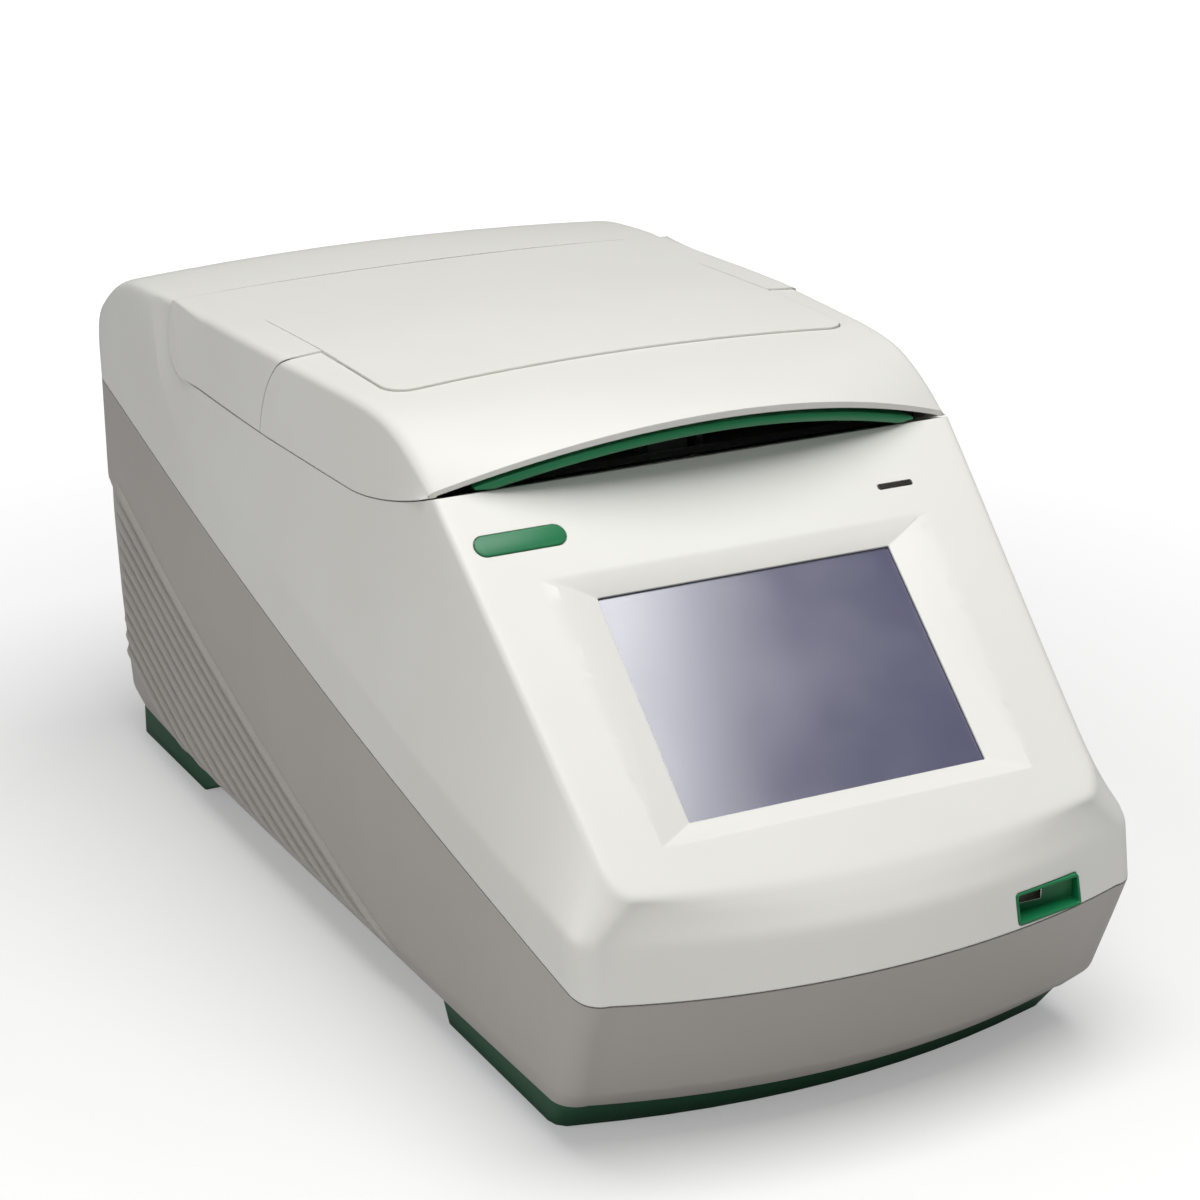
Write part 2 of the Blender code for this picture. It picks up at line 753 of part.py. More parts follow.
def vent_slots(through):
    """All the air slots as one cutter, since they never meet."""
    points, faces = [], []
    middle = (REAR_PANEL_BOTTOM + STEP_Z) / 2 - 2
    for index in range(VENT_COUNT):
        x = VENT_LEFT + index * VENT_PITCH
        ring = rounded((x, middle), VENT_WIDTH, VENT_LENGTH, VENT_WIDTH / 2 - 0.1, 2)
        base, count = len(points), len(ring)
        points += [(px, y, pz) for y in through for px, pz in ring]
        for corner in range(count):
            after = (corner + 1) % count
            faces.append((base + corner, base + after, base + count + after, base + count + corner))
        faces.append(tuple(range(base, base + count)))
        faces.append(tuple(range(base + count, base + 2 * count)))
    return solid("cut_vents", points, faces, None)


def make_power_inlet(inner_y, outer_y):
    body = prism_y("power_inlet", rounded((INLET_X, INLET_Z), 28, 36, 1.0, 2),
                   inner_y - 20, outer_y + GAP + 1.2, BLACK)
    flange = prism_y("cut_inlet_flange", rounded((INLET_X, INLET_Z), 32, 40, 3.0, 3),
                     outer_y + GAP, outer_y + GAP + 2.2, None)
    boolean(body, flange, "UNION")
    socket = prism_y("cut_inlet_socket", rounded((INLET_X, INLET_Z + 5), 24, 16.5, 3.0, 3),
                     inner_y - 14, outer_y + 10, None)
    boolean(body, socket)
    drawer_space = (FUSE_LOW[0] - GAP, inner_y - 15, FUSE_LOW[1] - GAP), \
                   (FUSE_HIGH[0] + GAP, outer_y + 10, FUSE_HIGH[1] + GAP)
    boolean(body, block("cut_fuse_space", *drawer_space, None))
    for index, (dx, dz) in enumerate([(-4.5, 6.5), (0, 10.0), (4.5, 6.5)]):
        x, z = INLET_X + dx * 1.4, INLET_Z - 2 + dz
        block(f"inlet_blade_{index + 1}", (x - 1.0, inner_y - 14 + GAP, z - 2.0),
              (x + 1.0, outer_y - 2, z + 2.0), BRIGHT_METAL)
    block("fuse_drawer", (FUSE_LOW[0], inner_y - 14, FUSE_LOW[1]),
          (FUSE_HIGH[0], outer_y + 3.5, FUSE_HIGH[1]), BLACK)


FUSE_LOW = (INLET_X - 11.0, INLET_Z - 16.0)
FUSE_HIGH = (INLET_X + 11.0, INLET_Z - 7.0)


def make_power_switch(inner_y, outer_y):
    frame = prism_y("switch_frame", rounded((SWITCH_X, SWITCH_Z), 21, 15, 1.0, 2),
                    inner_y - 14, outer_y + GAP + 1.0, BLACK)
    flange = prism_y("cut_switch_flange", rounded((SWITCH_X, SWITCH_Z), 24, 18, 2.0, 3),
                     outer_y + GAP, outer_y + GAP + 1.8, None)
    boolean(frame, flange, "UNION")
    boolean(frame, block("cut_switch_well", (SWITCH_X - 8.5, inner_y - 10, SWITCH_Z - 5.5),
                         (SWITCH_X + 8.5, outer_y + 10, SWITCH_Z + 5.5), None))
    pivot_y = outer_y - 3.5
    tip, wing = outer_y + 1.4, 7.6
    outline_xy = [(-wing, tip + 2.6), (0, tip), (wing, tip - 0.9)]
    outline_xy += arc((0, pivot_y), 6.0, 0, -180, 6)
    shape = [(SWITCH_X + x, y) for x, y in outline_xy]
    prism_z("power_switch", shape, SWITCH_Z - 5.1, SWITCH_Z + 5.1, BLACK, (SWITCH_X, pivot_y, SWITCH_Z))


def make_usb_b(outer_y):
    body = block("usb_b_socket", (SOCKET_X - 6.2, outer_y - 16, INLET_Z - 5.7),
                 (SOCKET_X + 6.2, outer_y + 0.8, INLET_Z + 5.7), BRIGHT_METAL)
    boolean(body, block("cut_usb_b", (SOCKET_X - 5.0, outer_y - 9, INLET_Z - 4.5),
                        (SOCKET_X + 5.0, outer_y + 10, INLET_Z + 4.5), None))


# ---------------------------------------------------------------- screen, badge and front socket

def make_screen():
    width, height = glass_size()
    top = -RECESS_DEPTH - SCREEN_LIP - GAP
    face_plate("touch_glass", (0, 0), width, height, 1.6, top - GLASS_THICKNESS, top, SCREEN_BLUE)
    back = top - GLASS_THICKNESS - GAP
    face_plate("display_module", (0, 0), width - 1.0, height - 1.0, 1.0, back - 7.0, back, METAL)
    face_plate("status_light", (STATUS_X, STATUS_V), STATUS_WIDTH, STATUS_HEIGHT, STATUS_HEIGHT / 2 - 0.1,
               -FACE_WALL, -0.2, CLEAR_WHITE)
    face_plate("name_badge", (BADGE_X, BADGE_V), BADGE_WIDTH, BADGE_HEIGHT, BADGE_HEIGHT / 2 - 0.1,
               -BADGE_DEPTH + GAP, 0.4, GREEN)


def make_front_socket():
    """A green cup whose rim lies just under the leaning lip, with the metal port in its floor."""
    floor = lip_y(USB_X) + USB_RECESS
    width, height = USB_WIDTH - 2 * GAP, USB_HEIGHT - 2 * GAP
    outer = rounded((USB_X, USB_Z), width, height, 1.2)
    turn = 31.0 * USB_X / HALF_WIDTH**2
    rim = [(x, lip_y(USB_X) + 0.8 + turn * (x - USB_X) + LIP_LEAN * (z - USB_Z), z) for x, z in outer]
    back = [(x, floor + USB_DEPTH - USB_RECESS, z) for x, z in outer]
    liner = loft("usb_liner", [rim, back], GREEN)
    cup = rounded((USB_X, USB_Z), width - 2 * LINER_WALL, height - 2 * LINER_WALL, 0.8)
    boolean(liner, prism_y("cut_liner_cup", cup, floor - USB_RECESS - 10, floor, None))
    x, z = USB_X - 5.6, USB_Z + 0.4
    low, high = (x - 6.6, floor - 5, z - 2.9), (x + 6.6, floor + USB_DEPTH, z + 2.9)
    boolean(liner, block("cut_usb_liner", low, high, None))
    port = block("usb_a_port", (x - 6.3, floor - 0.5, z - 2.6), (x + 6.3, floor + 12, z + 2.6), BRIGHT_METAL)
    boolean(port, block("cut_usb_port", (x - 5.9, floor - 5, z - 2.2), (x + 5.9, floor + 9, z + 2.2), None))


# ---------------------------------------------------------------- sample block and cooling

def block_top():
    return DECK_Z - BLOCK_SINK


def make_sample_block():
    """The block is one mesh: a top sheet with a tapered hole in every cell, and a plain box below."""
    top, low = block_top(), block_top() - BLOCK_HEIGHT
    half_w, half_d = block_width() / 2, block_depth() / 2
    x_first = -WELL_PITCH * (WELL_COLUMNS - 1) / 2
    y_first = BLOCK_Y - WELL_PITCH * (WELL_ROWS - 1) / 2
    points, faces, known = [], [], {}

    def point(x, y, z):
        key = (round(x, 4), round(y, 4), round(z, 4))
        if key not in known:
            known[key] = len(points)
            points.append((x, y, z))
        return known[key]

    for column in range(WELL_COLUMNS):
        for row in range(WELL_ROWS):
            x, y = x_first + column * WELL_PITCH, y_first + row * WELL_PITCH
            well_cell(point, faces, x, y, top)
    edge = cell_border(point, x_first, y_first, top)
    outer = [(half_w, BLOCK_Y - half_d), (half_w, BLOCK_Y + half_d), (-half_w, BLOCK_Y + half_d),
             (-half_w, BLOCK_Y - half_d)]
    border_faces(point, faces, edge, outer, top)
    rings = [[point(x, y, z) for x, y in outer] for z in (top, low)]
    for index in range(4):
        after = (index + 1) % 4
        faces.append((rings[0][index], rings[0][after], rings[1][after], rings[1][index]))
    faces.append(tuple(rings[1]))
    return smooth(solid("sample_block", points, faces, METAL))


def well_cell(point, faces, x, y, top):
    half = WELL_PITCH / 2
    square = [(1, 0), (1, 1), (0, 1), (-1, 1), (-1, 0), (-1, -1), (0, -1), (1, -1)]
    rim = [point(x + sx * half, y + sy * half, top) for sx, sy in square]
    mouth = [point(px, py, top) for px, py in circle((x, y), WELL_RADIUS, 8)]
    tip = [point(px, py, top - WELL_DEPTH) for px, py in circle((x, y), WELL_TIP_RADIUS, 8)]
    for index in range(8):
        after = (index + 1) % 8
        faces.append((rim[index], rim[after], mouth[after], mouth[index]))
        faces.append((mouth[index], mouth[after], tip[after], tip[index]))
    faces.append(tuple(tip))


def cell_border(point, x_first, y_first, top):
    """The outer edge of all the cells, as four runs of point numbers."""
    half = WELL_PITCH / 2
    x0, x1 = x_first - half, x_first + WELL_PITCH * (WELL_COLUMNS - 1) + half
    y0, y1 = y_first - half, y_first + WELL_PITCH * (WELL_ROWS - 1) + half
    xs = [x0 + half * step for step in range(2 * WELL_COLUMNS + 1)]
    ys = [y0 + half * step for step in range(2 * WELL_ROWS + 1)]
    return [
        [point(x1, y, top) for y in ys],
        [point(x, y1, top) for x in reversed(xs)],
        [point(x0, y, top) for y in reversed(ys)],
        [point(x, y0, top) for x in xs],
    ]


def border_faces(point, faces, edge, outer, top):
    corners = [point(x, y, top) for x, y in outer]
    for index, run in enumerate(edge):
        faces.append((corners[index], corners[(index + 1) % 4], *reversed(run)))


def make_collar():
    width, depth = block_width(), block_depth()
    outer = rounded((0, BLOCK_Y), width + 2 * COLLAR - 2 * GAP, depth + 2 * COLLAR - 2 * GAP, 3.7)
    collar = prism_z("block_collar", outer, block_top() - 6, block_top() + 0.6, BLACK)
    inner = rounded((0, BLOCK_Y), width + 2 * GAP, depth + 2 * GAP, 0.5, 1)
    boolean(collar, prism_z("cut_collar", inner, block_top() - 12, block_top() + 6, None))


def make_cooling():
    low = block_top() - BLOCK_HEIGHT - GAP
    width, depth = block_width() / 2 - 4, block_depth() - 8
    for side, name in ((-1, "heat_pump_left"), (1, "heat_pump_right")):
        x = side * (width / 2 + 1.5)
        block(name, (x - width / 2, BLOCK_Y - depth / 2, low - MODULE_HEIGHT),
              (x + width / 2, BLOCK_Y + depth / 2, low), CERAMIC_WHITE)
    make_heat_sink(low - MODULE_HEIGHT - GAP)
    make_fan(sink_low() + FIN_HEIGHT / 2)


def sink_top():
    return block_top() - BLOCK_HEIGHT - 2 * GAP - MODULE_HEIGHT


def sink_low():
    return sink_top() - SINK_BASE - FIN_HEIGHT


def make_heat_sink(top):
    half = block_width() / 2 + 6
    pitch = (2 * half - FIN_THICKNESS) / (FIN_COUNT - 1)
    outline_xz = [(half, top), (-half, top)]
    for index in range(FIN_COUNT):
        x = -half + index * pitch
        root, tip = top - SINK_BASE, top - SINK_BASE - FIN_HEIGHT
        fin = [(x, root), (x, tip), (x + FIN_THICKNESS, tip), (x + FIN_THICKNESS, root)]
        outline_xz += fin[1:] if index == 0 else fin[:-1] if index == FIN_COUNT - 1 else fin
    depth = block_depth() / 2 + 8
    prism_y("heat_sink", outline_xz, BLOCK_Y - depth, BLOCK_Y + depth, METAL)


def fan_front():
    return BLOCK_Y + block_depth() / 2 + 8 + 4


def make_fan(height):
    front, back = fan_front(), fan_front() + FAN_DEPTH
    bore = FAN_SIZE / 2 - 2.5
    frame = prism_y("fan_frame", rounded((0, height), FAN_SIZE, FAN_SIZE, 4.0), front, back, BLACK)
    boolean(frame, prism_y("cut_fan_bore", circle((0, height), bore, 32), front - 5, back - 4, None))
    boolean(frame, fan_windows(height, back, bore))
    smooth(frame)
    rings = []
    for step in range(5):
        y = front + 2 + (FAN_DEPTH - 8) * step / 4
        rings.append([(x, y, z) for x, z in rotor_outline(height, bore - 1.5, 24.0 * step / 4)])
    smooth(loft("fan_rotor", rings, BLACK, (0, (front + back) / 2, height)))


def fan_windows(height, back, bore):
    """Four air windows that leave arms and a motor seat in the rear plate of the fan."""
    points, faces = [], []
    for quarter in range(4):
        start, end = 90 * quarter + 8, 90 * quarter + 82
        ring = arc((0, height), bore - 1.0, start, end, 8) + arc((0, height), 17.0, end, start, 4)
        base, count = len(points), len(ring)
        points += [(x, y, z) for y in (back - 9, back + 5) for x, z in ring]
        for corner in range(count):
            after = (corner + 1) % count
            faces.append((base + corner, base + after, base + count + after, base + count + corner))
        faces.append(tuple(range(base, base + count)))
        faces.append(tuple(range(base + count, base + 2 * count)))
    return solid("cut_fan_windows", points, faces, None)


def rotor_outline(height, reach, twist):
    points = []
    for blade in range(FAN_BLADES):
        middle = 360 * blade / FAN_BLADES + twist
        points += arc((0, height), reach, middle - 3, middle + 3, 1)
        points += arc((0, height), 17.0, middle + 6, middle + 360 / FAN_BLADES - 6, 2)
    return points


def board_post_places():
    half_w, half_d = BOARD_WIDTH / 2 - 7, BOARD_DEPTH / 2 - 7
    return [(sx * half_w, BOARD_Y + sy * half_d) for sx in (-1, 1) for sy in (-1, 1)]


def make_electronics():
    floor = CHASSIS_Z + CHASSIS_THICKNESS
    board_z = floor + BOARD_LIFT
    board = rounded((0, BOARD_Y), BOARD_WIDTH, BOARD_DEPTH, 2.0, 2)
    prism_z("main_board", board, board_z, board_z + 1.6, BOARD_GREEN)
    rear = REAR - PANEL_INSET - WALL - 30
    block("power_supply", (12, rear - 95, floor + GAP), (88, rear, floor + 38), METAL)


# ---------------------------------------------------------------- lid

LID_FRONT = [(-88.7, -107.0), (-78.0, -98.0), (-64.5, -84.0), (-52.0, -66.0), (-34.0, -38.0),
             (-15.0, -12.0), (14.0, 14.0), (41.0, 41.0), (73.0, 73.0), (105.0, 105.0)]
LID_EDGE_RISE = [13.5, 20.6, 27.5, 31.0, 32.3, 32.2, 31.8, 31.2, 30.3, 29.0]
LID_CENTRE_RISE = [33.0, 34.8, 36.1, 36.9, 37.1, 37.0, 36.5, 35.7, 34.4, 32.8]


def lid_profile(share, shrink=0.0, raised=False):
    """One (x, y, z) loop of the lid at a share of its half width, lip first and over the top."""
    loop = []
    for (edge_y, centre_y), edge_up, centre_up in zip(LID_FRONT, LID_EDGE_RISE, LID_CENTRE_RISE):
        y = centre_y + (edge_y - centre_y) * share**2
        z = DECK_Z + centre_up + (edge_up - centre_up) * share**2 - shrink
        if raised:
            z += PANEL_RAISE * blend([(20.0, 1.0), (PANEL_FADE_Y, 0.0)], y)
        loop.append((share * (top_half(edge_y) - shrink), y, z))
    return loop


def lid_shares():
    marks = [0.0, 0.22, 0.44, 0.64, 0.8, 0.9, 1.0]
    return [-mark for mark in reversed(marks[1:])] + marks


def lid_loop(share, raised):
    loop = lid_profile(share, raised=raised)
    half = top_half(HINGE_Y)
    top = hood_z(share * half, HINGE_Y + HINGE_RADIUS / 2)
    turn = math.degrees(math.asin((top - HINGE_Z) / HINGE_RADIUS))
    rear = arc((HINGE_Y, HINGE_Z), HINGE_RADIUS, turn, -90, 9)
    loop += [(share * (half + 0.1 * (HOOD_Z - z)), y, z) for y, z in rear]
    for y in (96.0, 40.0, SEAM_FLAT_Y, -48.0, -60.0, -74.0):
        z = seam_z(y) + LID_GAP / 2
        loop.append((share * side_x(y, z), y, z))
    front_y = loop[0][1] + 1.5
    z = seam_z(max(front_y, -90.0)) + LID_GAP / 2
    loop.append((share * side_x(front_y, z), front_y, z))
    return loop


def lid_blank(name, look, raised=False):
    rings = [lid_loop(share, raised) for share in lid_shares()]
    lid = strip_loft(name, rings, look, (0, HINGE_Y, HINGE_Z))
    boolean(lid, lid_hollow(f"cut_{name}_hollow", raised))
    return lid


def lid_hollow(name, raised):
    """The space under the lid's skin, open below and under the lip."""
    rings = []
    for share in lid_shares():
        top = lid_profile(share, WALL, raised)
        x, y, z = top[0]
        top[0] = (x, y - 12.0, z - 0.5)
        x, y, z = top[-1]
        top[-1] = (x, HINGE_Y - 18.0, z)
        rings.append(top + [(x, y, DECK_Z - 20) for x, y, z in reversed(top)])
    return strip_loft(name, rings, None)


def cover_region(name, grow):
    """Where the cover lies: the raised panel in front and the full width behind the arms."""
    low, high = DECK_Z - 30, HOOD_Z + 40
    reach = HALF_WIDTH + BOOLEAN_MARGIN
    radius = ARM_END_RADIUS - grow
    height = DECK_Z + 1.0
    edge = arc((ARM_END_Y, height), radius, 0, 60, 8)
    side = [(edge[0][0], low), *edge, (edge[-1][0] - 4, high), (HINGE_Y + 60, high), (HINGE_Y + 60, low)]
    region = prism_x(name, side, -reach, reach, None)
    half, front = PANEL_HALF + grow, PANEL_FRONT - grow
    plan = [(half, ARM_END_Y + 60), (-half, ARM_END_Y + 60)]
    plan += arc((-half + 10, front + 10), 10, 180, 270, 4) + arc((half - 10, front + 10), 10, 270, 360, 4)
    return region, prism_z(f"{name}_front", plan, low - 3, high + 3, None)


def make_lid_shells():
    rear, front = cover_region("cut_cover_rear", 0)
    boolean(rear, front, "UNION")
    cover = lid_blank("lid_cover", GLOSS_WHITE, raised=True)
    boolean(cover, rear, "INTERSECT")
    wide_rear, wide_front = cover_region("cut_frame_rear", GAP)
    frame = lid_blank("lid_frame", GLOSS_WHITE)
    boolean(frame, wide_rear)
    boolean(frame, wide_front)
    for side in (-1, 1):
        boolean(cover, hinge_notch(side))
        boolean(cover, hinge_bore(side))
    smooth(cover)
    smooth(frame)


def hinge_notch(side):
    x = side * HINGE_BRACKET_X
    half = HINGE_BRACKET_WIDTH / 2 + 0.6
    name = f"cut_hinge_notch_{'right' if side > 0 else 'left'}"
    return block(name, (x - half, HINGE_Y - 11, DECK_Z - 10), (x + half, HINGE_Y + 25, HINGE_Z + 10), None)


def hinge_bore(side):
    x = side * HINGE_BRACKET_X
    reach = HINGE_BRACKET_WIDTH / 2 + 9
    bore = circle((HINGE_Y, HINGE_Z), HINGE_PIN_RADIUS + PIN_CLEARANCE, 24)
    return prism_x(f"cut_hinge_bore_{'right' if side > 0 else 'left'}", bore, x - reach, x + reach, None)


def make_hinges():
    for side, name in ((-1, "left"), (1, "right")):
        x, half = side * HINGE_BRACKET_X, HINGE_BRACKET_WIDTH / 2
        foot = DECK_Z - WALL - 14
        shape = [(HINGE_Y - 8, foot), (HINGE_Y + 8, foot)] + arc((HINGE_Y, HINGE_Z), 8, 0, 180, 8)
        bracket = prism_x(f"hinge_bracket_{name}", shape, x - half, x + half, METAL)
        hole = circle((HINGE_Y, HINGE_Z), HINGE_PIN_RADIUS + GAP, 24)
        boolean(bracket, prism_x(f"cut_bracket_hole_{name}", hole, x - half - 5, x + half + 5, None))
        pin = circle((HINGE_Y, HINGE_Z), HINGE_PIN_RADIUS, 24)
        reach = half + 8.5
        smooth(prism_x(f"hinge_pin_{name}", pin, x - reach, x + reach, BRIGHT_METAL, (x, HINGE_Y, HINGE_Z)))


# ---------------------------------------------------------------- inside the lid

TRAY_THICKNESS = 2.5
TRAY_REAR = 96.0
TRAY_FRONT = -82.0
TRAY_LIFT = LID_GAP / 2 + 0.6


def tray_half(y):
    return top_half(y) - WALL - 3 * GAP


def make_lid_tray():
    stops = [TRAY_REAR, 60.0, 20.0, SEAM_FLAT_Y, -48.0, -60.0, -74.0, TRAY_FRONT]
    points, faces = [], []
    for y in stops:
        z, half = seam_z(y) + TRAY_LIFT, min(tray_half(y), tray_limit(y))
        top = z + TRAY_THICKNESS
        points += [(half, y, z), (-half, y, z), (-half, y, top), (half, y, top)]
    for step in range(len(stops) - 1):
        for corner in range(4):
            after = (corner + 1) % 4
            base = 4 * step
            faces.append((base + corner, base + after, base + 4 + after, base + 4 + corner))
    faces += [(0, 1, 2, 3), tuple(4 * len(stops) - 4 + corner for corner in range(4))]
    tray = solid("lid_tray", points, faces, BLACK, (0, HINGE_Y, HINGE_Z))
    width, depth = plate_size()
    hole = rounded((0, BLOCK_Y), width + 3, depth + 3, 2.5)
    boolean(tray, prism_z("cut_tray", hole, DECK_Z - 20, DECK_Z + 40, None))
    boolean(tray, block("cut_tray_hook", (-HOOK_WIDTH / 2 - 1, HOOK_Y - 9, DECK_Z - 10),
                        (HOOK_WIDTH / 2 + 1, HOOK_Y + 9, DECK_Z + 40), None))


def tray_limit(y):
    """The tray narrows towards the lip, where the lid comes down to meet the body."""
    return HALF_WIDTH + blend([(TRAY_FRONT, -22.0), (-74.0, -15.5), (-48.0, 0.0)], y)


def plate_size():
    return block_width() - 2.0, block_depth() - 2.0


def plate_low():
    return DECK_Z - 1.5


def make_heated_plate():
    width, depth = plate_size()
    low = plate_low()
    prism_z("heated_plate", rounded((0, BLOCK_Y), width, depth, 2.0), low, low + PLATE_THICKNESS, METAL,
            (0, BLOCK_Y, low))
    spring_low = low + PLATE_THICKNESS + GAP
    for index, (sx, sy) in enumerate([(-1, -1), (1, -1), (-1, 1), (1, 1)]):
        x, y = sx * (width / 2 - 10), BLOCK_Y + sy * (depth / 2 - 10)
        make_spring(f"plate_spring_{index + 1}", x, y, spring_low)
    carrier_low = spring_low + SPRING_LENGTH + GAP
    carrier = prism_z("plate_carrier", rounded((0, BLOCK_Y), width + 26, depth + 4, 4.0),
                      carrier_low, carrier_low + CARRIER_THICKNESS, METAL)
    legs = (width + 26) / 2
    for side in (-1, 1):
        tray_top = DECK_Z + TRAY_LIFT + TRAY_THICKNESS + GAP
        low_corner = (side * legs - 1.5 - side * 1.5, BLOCK_Y - 30, tray_top)
        high_corner = (side * legs + 1.5 - side * 1.5, BLOCK_Y + 30, carrier_low + 1.0)
        leg = block(f"cut_carrier_leg_{'right' if side > 0 else 'left'}", low_corner, high_corner, None)
        boolean(carrier, leg, "UNION")


def make_spring(name, x, y, low):
    """A coil with flat ends, as a tube along a helix."""
    steps, sides = SPRING_TURNS * 8, 5
    rings = []
    for step in range(steps + 1):
        angle = 2 * math.pi * step / 8
        z = low + SPRING_WIRE + (SPRING_LENGTH - 2 * SPRING_WIRE) * step / steps
        centre = Vector((x + SPRING_RADIUS * math.cos(angle), y + SPRING_RADIUS * math.sin(angle), z))
        out = Vector((math.cos(angle), math.sin(angle), 0))
        ring = []
        for side in range(sides):
            turn = 2 * math.pi * side / sides + 0.3
            ring.append(centre + SPRING_WIRE * (out * math.cos(turn) + Vector((0, 0, math.sin(turn)))))
        rings.append(ring)
    return smooth(loft(name, rings, METAL, (x, y, low)))


# ---------------------------------------------------------------- latch

BAR_HALF = 87.0
BAR_DEPTH = 9.0
BAR_HEIGHT = 3.2


def make_release_bar():
    """The green bar under the lip, bowed and arched as the lip is."""
    rings = []
    for step in range(17):
        x = BAR_HALF * (step / 8 - 1)
        share = x / top_half(LID_FRONT[0][0])
        edge_y, centre_y = LID_FRONT[0]
        y = centre_y + (edge_y - centre_y) * share**2 + 1.0
        lip = LID_CENTRE_RISE[0] + (LID_EDGE_RISE[0] - LID_CENTRE_RISE[0]) * share**2
        z = DECK_Z + lip - WALL - 1.2
        end = blend([(BAR_HALF - 12, 1.0), (BAR_HALF, 0.35)], abs(x))
        back, low = y + BAR_DEPTH * end, max(z - BAR_HEIGHT, RIDGE_Z + 2 * GAP)
        rings.append([(x, y, z), (x, back, z + 0.6), (x, back, low + 0.6 * end), (x, y, low)])
    smooth(loft("release_bar", rings, GREEN))


def make_latch():
    half = HOOK_WIDTH / 2
    pivot = (HOOK_Y, HOOK_PIVOT_Z)
    foot = DECK_Z - WALL - 7
    shape = arc(pivot, 4.0, 180, 0, 6)
    shape += [(HOOK_Y + HOOK_THICKNESS / 2, HOOK_PIVOT_Z - 4), (HOOK_Y + HOOK_THICKNESS / 2, foot)]
    shape += [(HOOK_Y, foot - 3), (HOOK_Y - HOOK_THICKNESS / 2 - HOOK_NOSE, foot + 2)]
    front = HOOK_Y - HOOK_THICKNESS / 2
    shape += [(front - HOOK_NOSE, foot + 3.5), (front, foot + 3.5), (front, HOOK_PIVOT_Z - 4)]
    hook = prism_x("latch_hook", shape, -half, half, METAL, (0, HOOK_Y, HOOK_PIVOT_Z))
    bore = circle(pivot, 1.6, 16)
    boolean(hook, prism_x("cut_hook_bore", bore, -half - 5, half + 5, None))
    pin = circle(pivot, 1.5, 16)
    smooth(prism_x("latch_pin", pin, -half - 6, half + 6, BRIGHT_METAL, (0, HOOK_Y, HOOK_PIVOT_Z)))
    catch_top = DECK_Z - WALL - 0.4 - 1.0
    back = HOOK_Y - HOOK_THICKNESS / 2 - 0.5
    block("latch_catch", (-half - 4, back - 9, catch_top - 2.0), (half + 4, back, catch_top), METAL)
    for side, name in ((-1, "left"), (1, "right")):
        x = side * (half + 3.5)
        ear_low = seam_z(HOOK_Y - 4.5) + TRAY_LIFT + TRAY_THICKNESS + GAP
        ear = [(HOOK_Y - 4.5, ear_low), (HOOK_Y + 4.5, ear_low),
               (HOOK_Y + 4.5, HOOK_PIVOT_Z + 4.5), (HOOK_Y - 4.5, HOOK_PIVOT_Z + 4.5)]
        support = prism_x(f"latch_ear_{name}", ear, x - 1.5, x + 1.5, METAL)
        boolean(support, prism_x(f"cut_ear_{name}", circle(pivot, 1.5 + GAP, 16), x - 5, x + 5, None))


def main():
    clear_scene()
    make_lower_shell()
    make_upper_shell()
    make_feet()
    make_chassis()
    make_rear_panel()
    make_screen()
    make_front_socket()
    make_sample_block()
    make_collar()
    make_cooling()
    make_electronics()
    make_lid_shells()
    make_hinges()
    make_lid_tray()
    make_heated_plate()
    make_release_bar()
    make_latch()


main()
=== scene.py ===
# Bench-top thermal cycler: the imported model's looks
import json
import math

import bmesh
import bpy
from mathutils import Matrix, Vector

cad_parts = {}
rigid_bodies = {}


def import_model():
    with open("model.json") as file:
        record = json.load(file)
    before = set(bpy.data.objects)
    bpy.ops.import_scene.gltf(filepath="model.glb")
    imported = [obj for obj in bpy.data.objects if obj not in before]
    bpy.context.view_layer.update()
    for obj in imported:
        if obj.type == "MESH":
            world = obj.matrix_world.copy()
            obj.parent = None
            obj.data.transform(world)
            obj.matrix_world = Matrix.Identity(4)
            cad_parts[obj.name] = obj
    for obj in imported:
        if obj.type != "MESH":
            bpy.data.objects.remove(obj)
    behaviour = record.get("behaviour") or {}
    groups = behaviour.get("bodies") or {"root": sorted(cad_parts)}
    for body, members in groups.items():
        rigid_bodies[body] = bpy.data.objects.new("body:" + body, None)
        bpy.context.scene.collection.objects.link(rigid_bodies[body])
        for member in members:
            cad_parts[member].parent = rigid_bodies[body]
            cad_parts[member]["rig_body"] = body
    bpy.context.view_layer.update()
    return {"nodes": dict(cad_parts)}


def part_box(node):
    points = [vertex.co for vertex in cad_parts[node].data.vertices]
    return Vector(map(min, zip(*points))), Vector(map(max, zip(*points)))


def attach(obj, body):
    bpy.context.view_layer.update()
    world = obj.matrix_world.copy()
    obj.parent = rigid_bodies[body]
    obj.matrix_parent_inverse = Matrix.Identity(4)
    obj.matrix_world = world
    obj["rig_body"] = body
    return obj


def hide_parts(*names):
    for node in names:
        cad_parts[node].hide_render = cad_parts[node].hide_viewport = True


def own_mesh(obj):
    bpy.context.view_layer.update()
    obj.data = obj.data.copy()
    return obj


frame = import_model()
mm = 0.001


def boxMm(node):
    return [Vector(corner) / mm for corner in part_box(node)]


# Main places, in millimetres, read from the frame
shellLow, shellHigh = boxMm("lower_shell")
frontY, rearY = shellLow.y, shellHigh.y
halfWidth = boxMm("upper_shell")[1].x
deckZ = Vector(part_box("lid_cover")[0]).z / mm
hoodZ = deckZ + 30.5
baseZ = shellLow.z
pinLow, pinHigh = boxMm("hinge_pin_right")
pinX = (pinLow.x + pinHigh.x) / 2
hingeY, hingeZ = (pinLow.y + pinHigh.y) / 2, (pinLow.z + pinHigh.z) / 2
hingeRadius = hingeZ - deckZ
ridgeY, ridgeZ = frontY + 137.0, deckZ + 13.0
flatY = frontY + 195.5  # where the curved seam under the lid runs out into the level deck

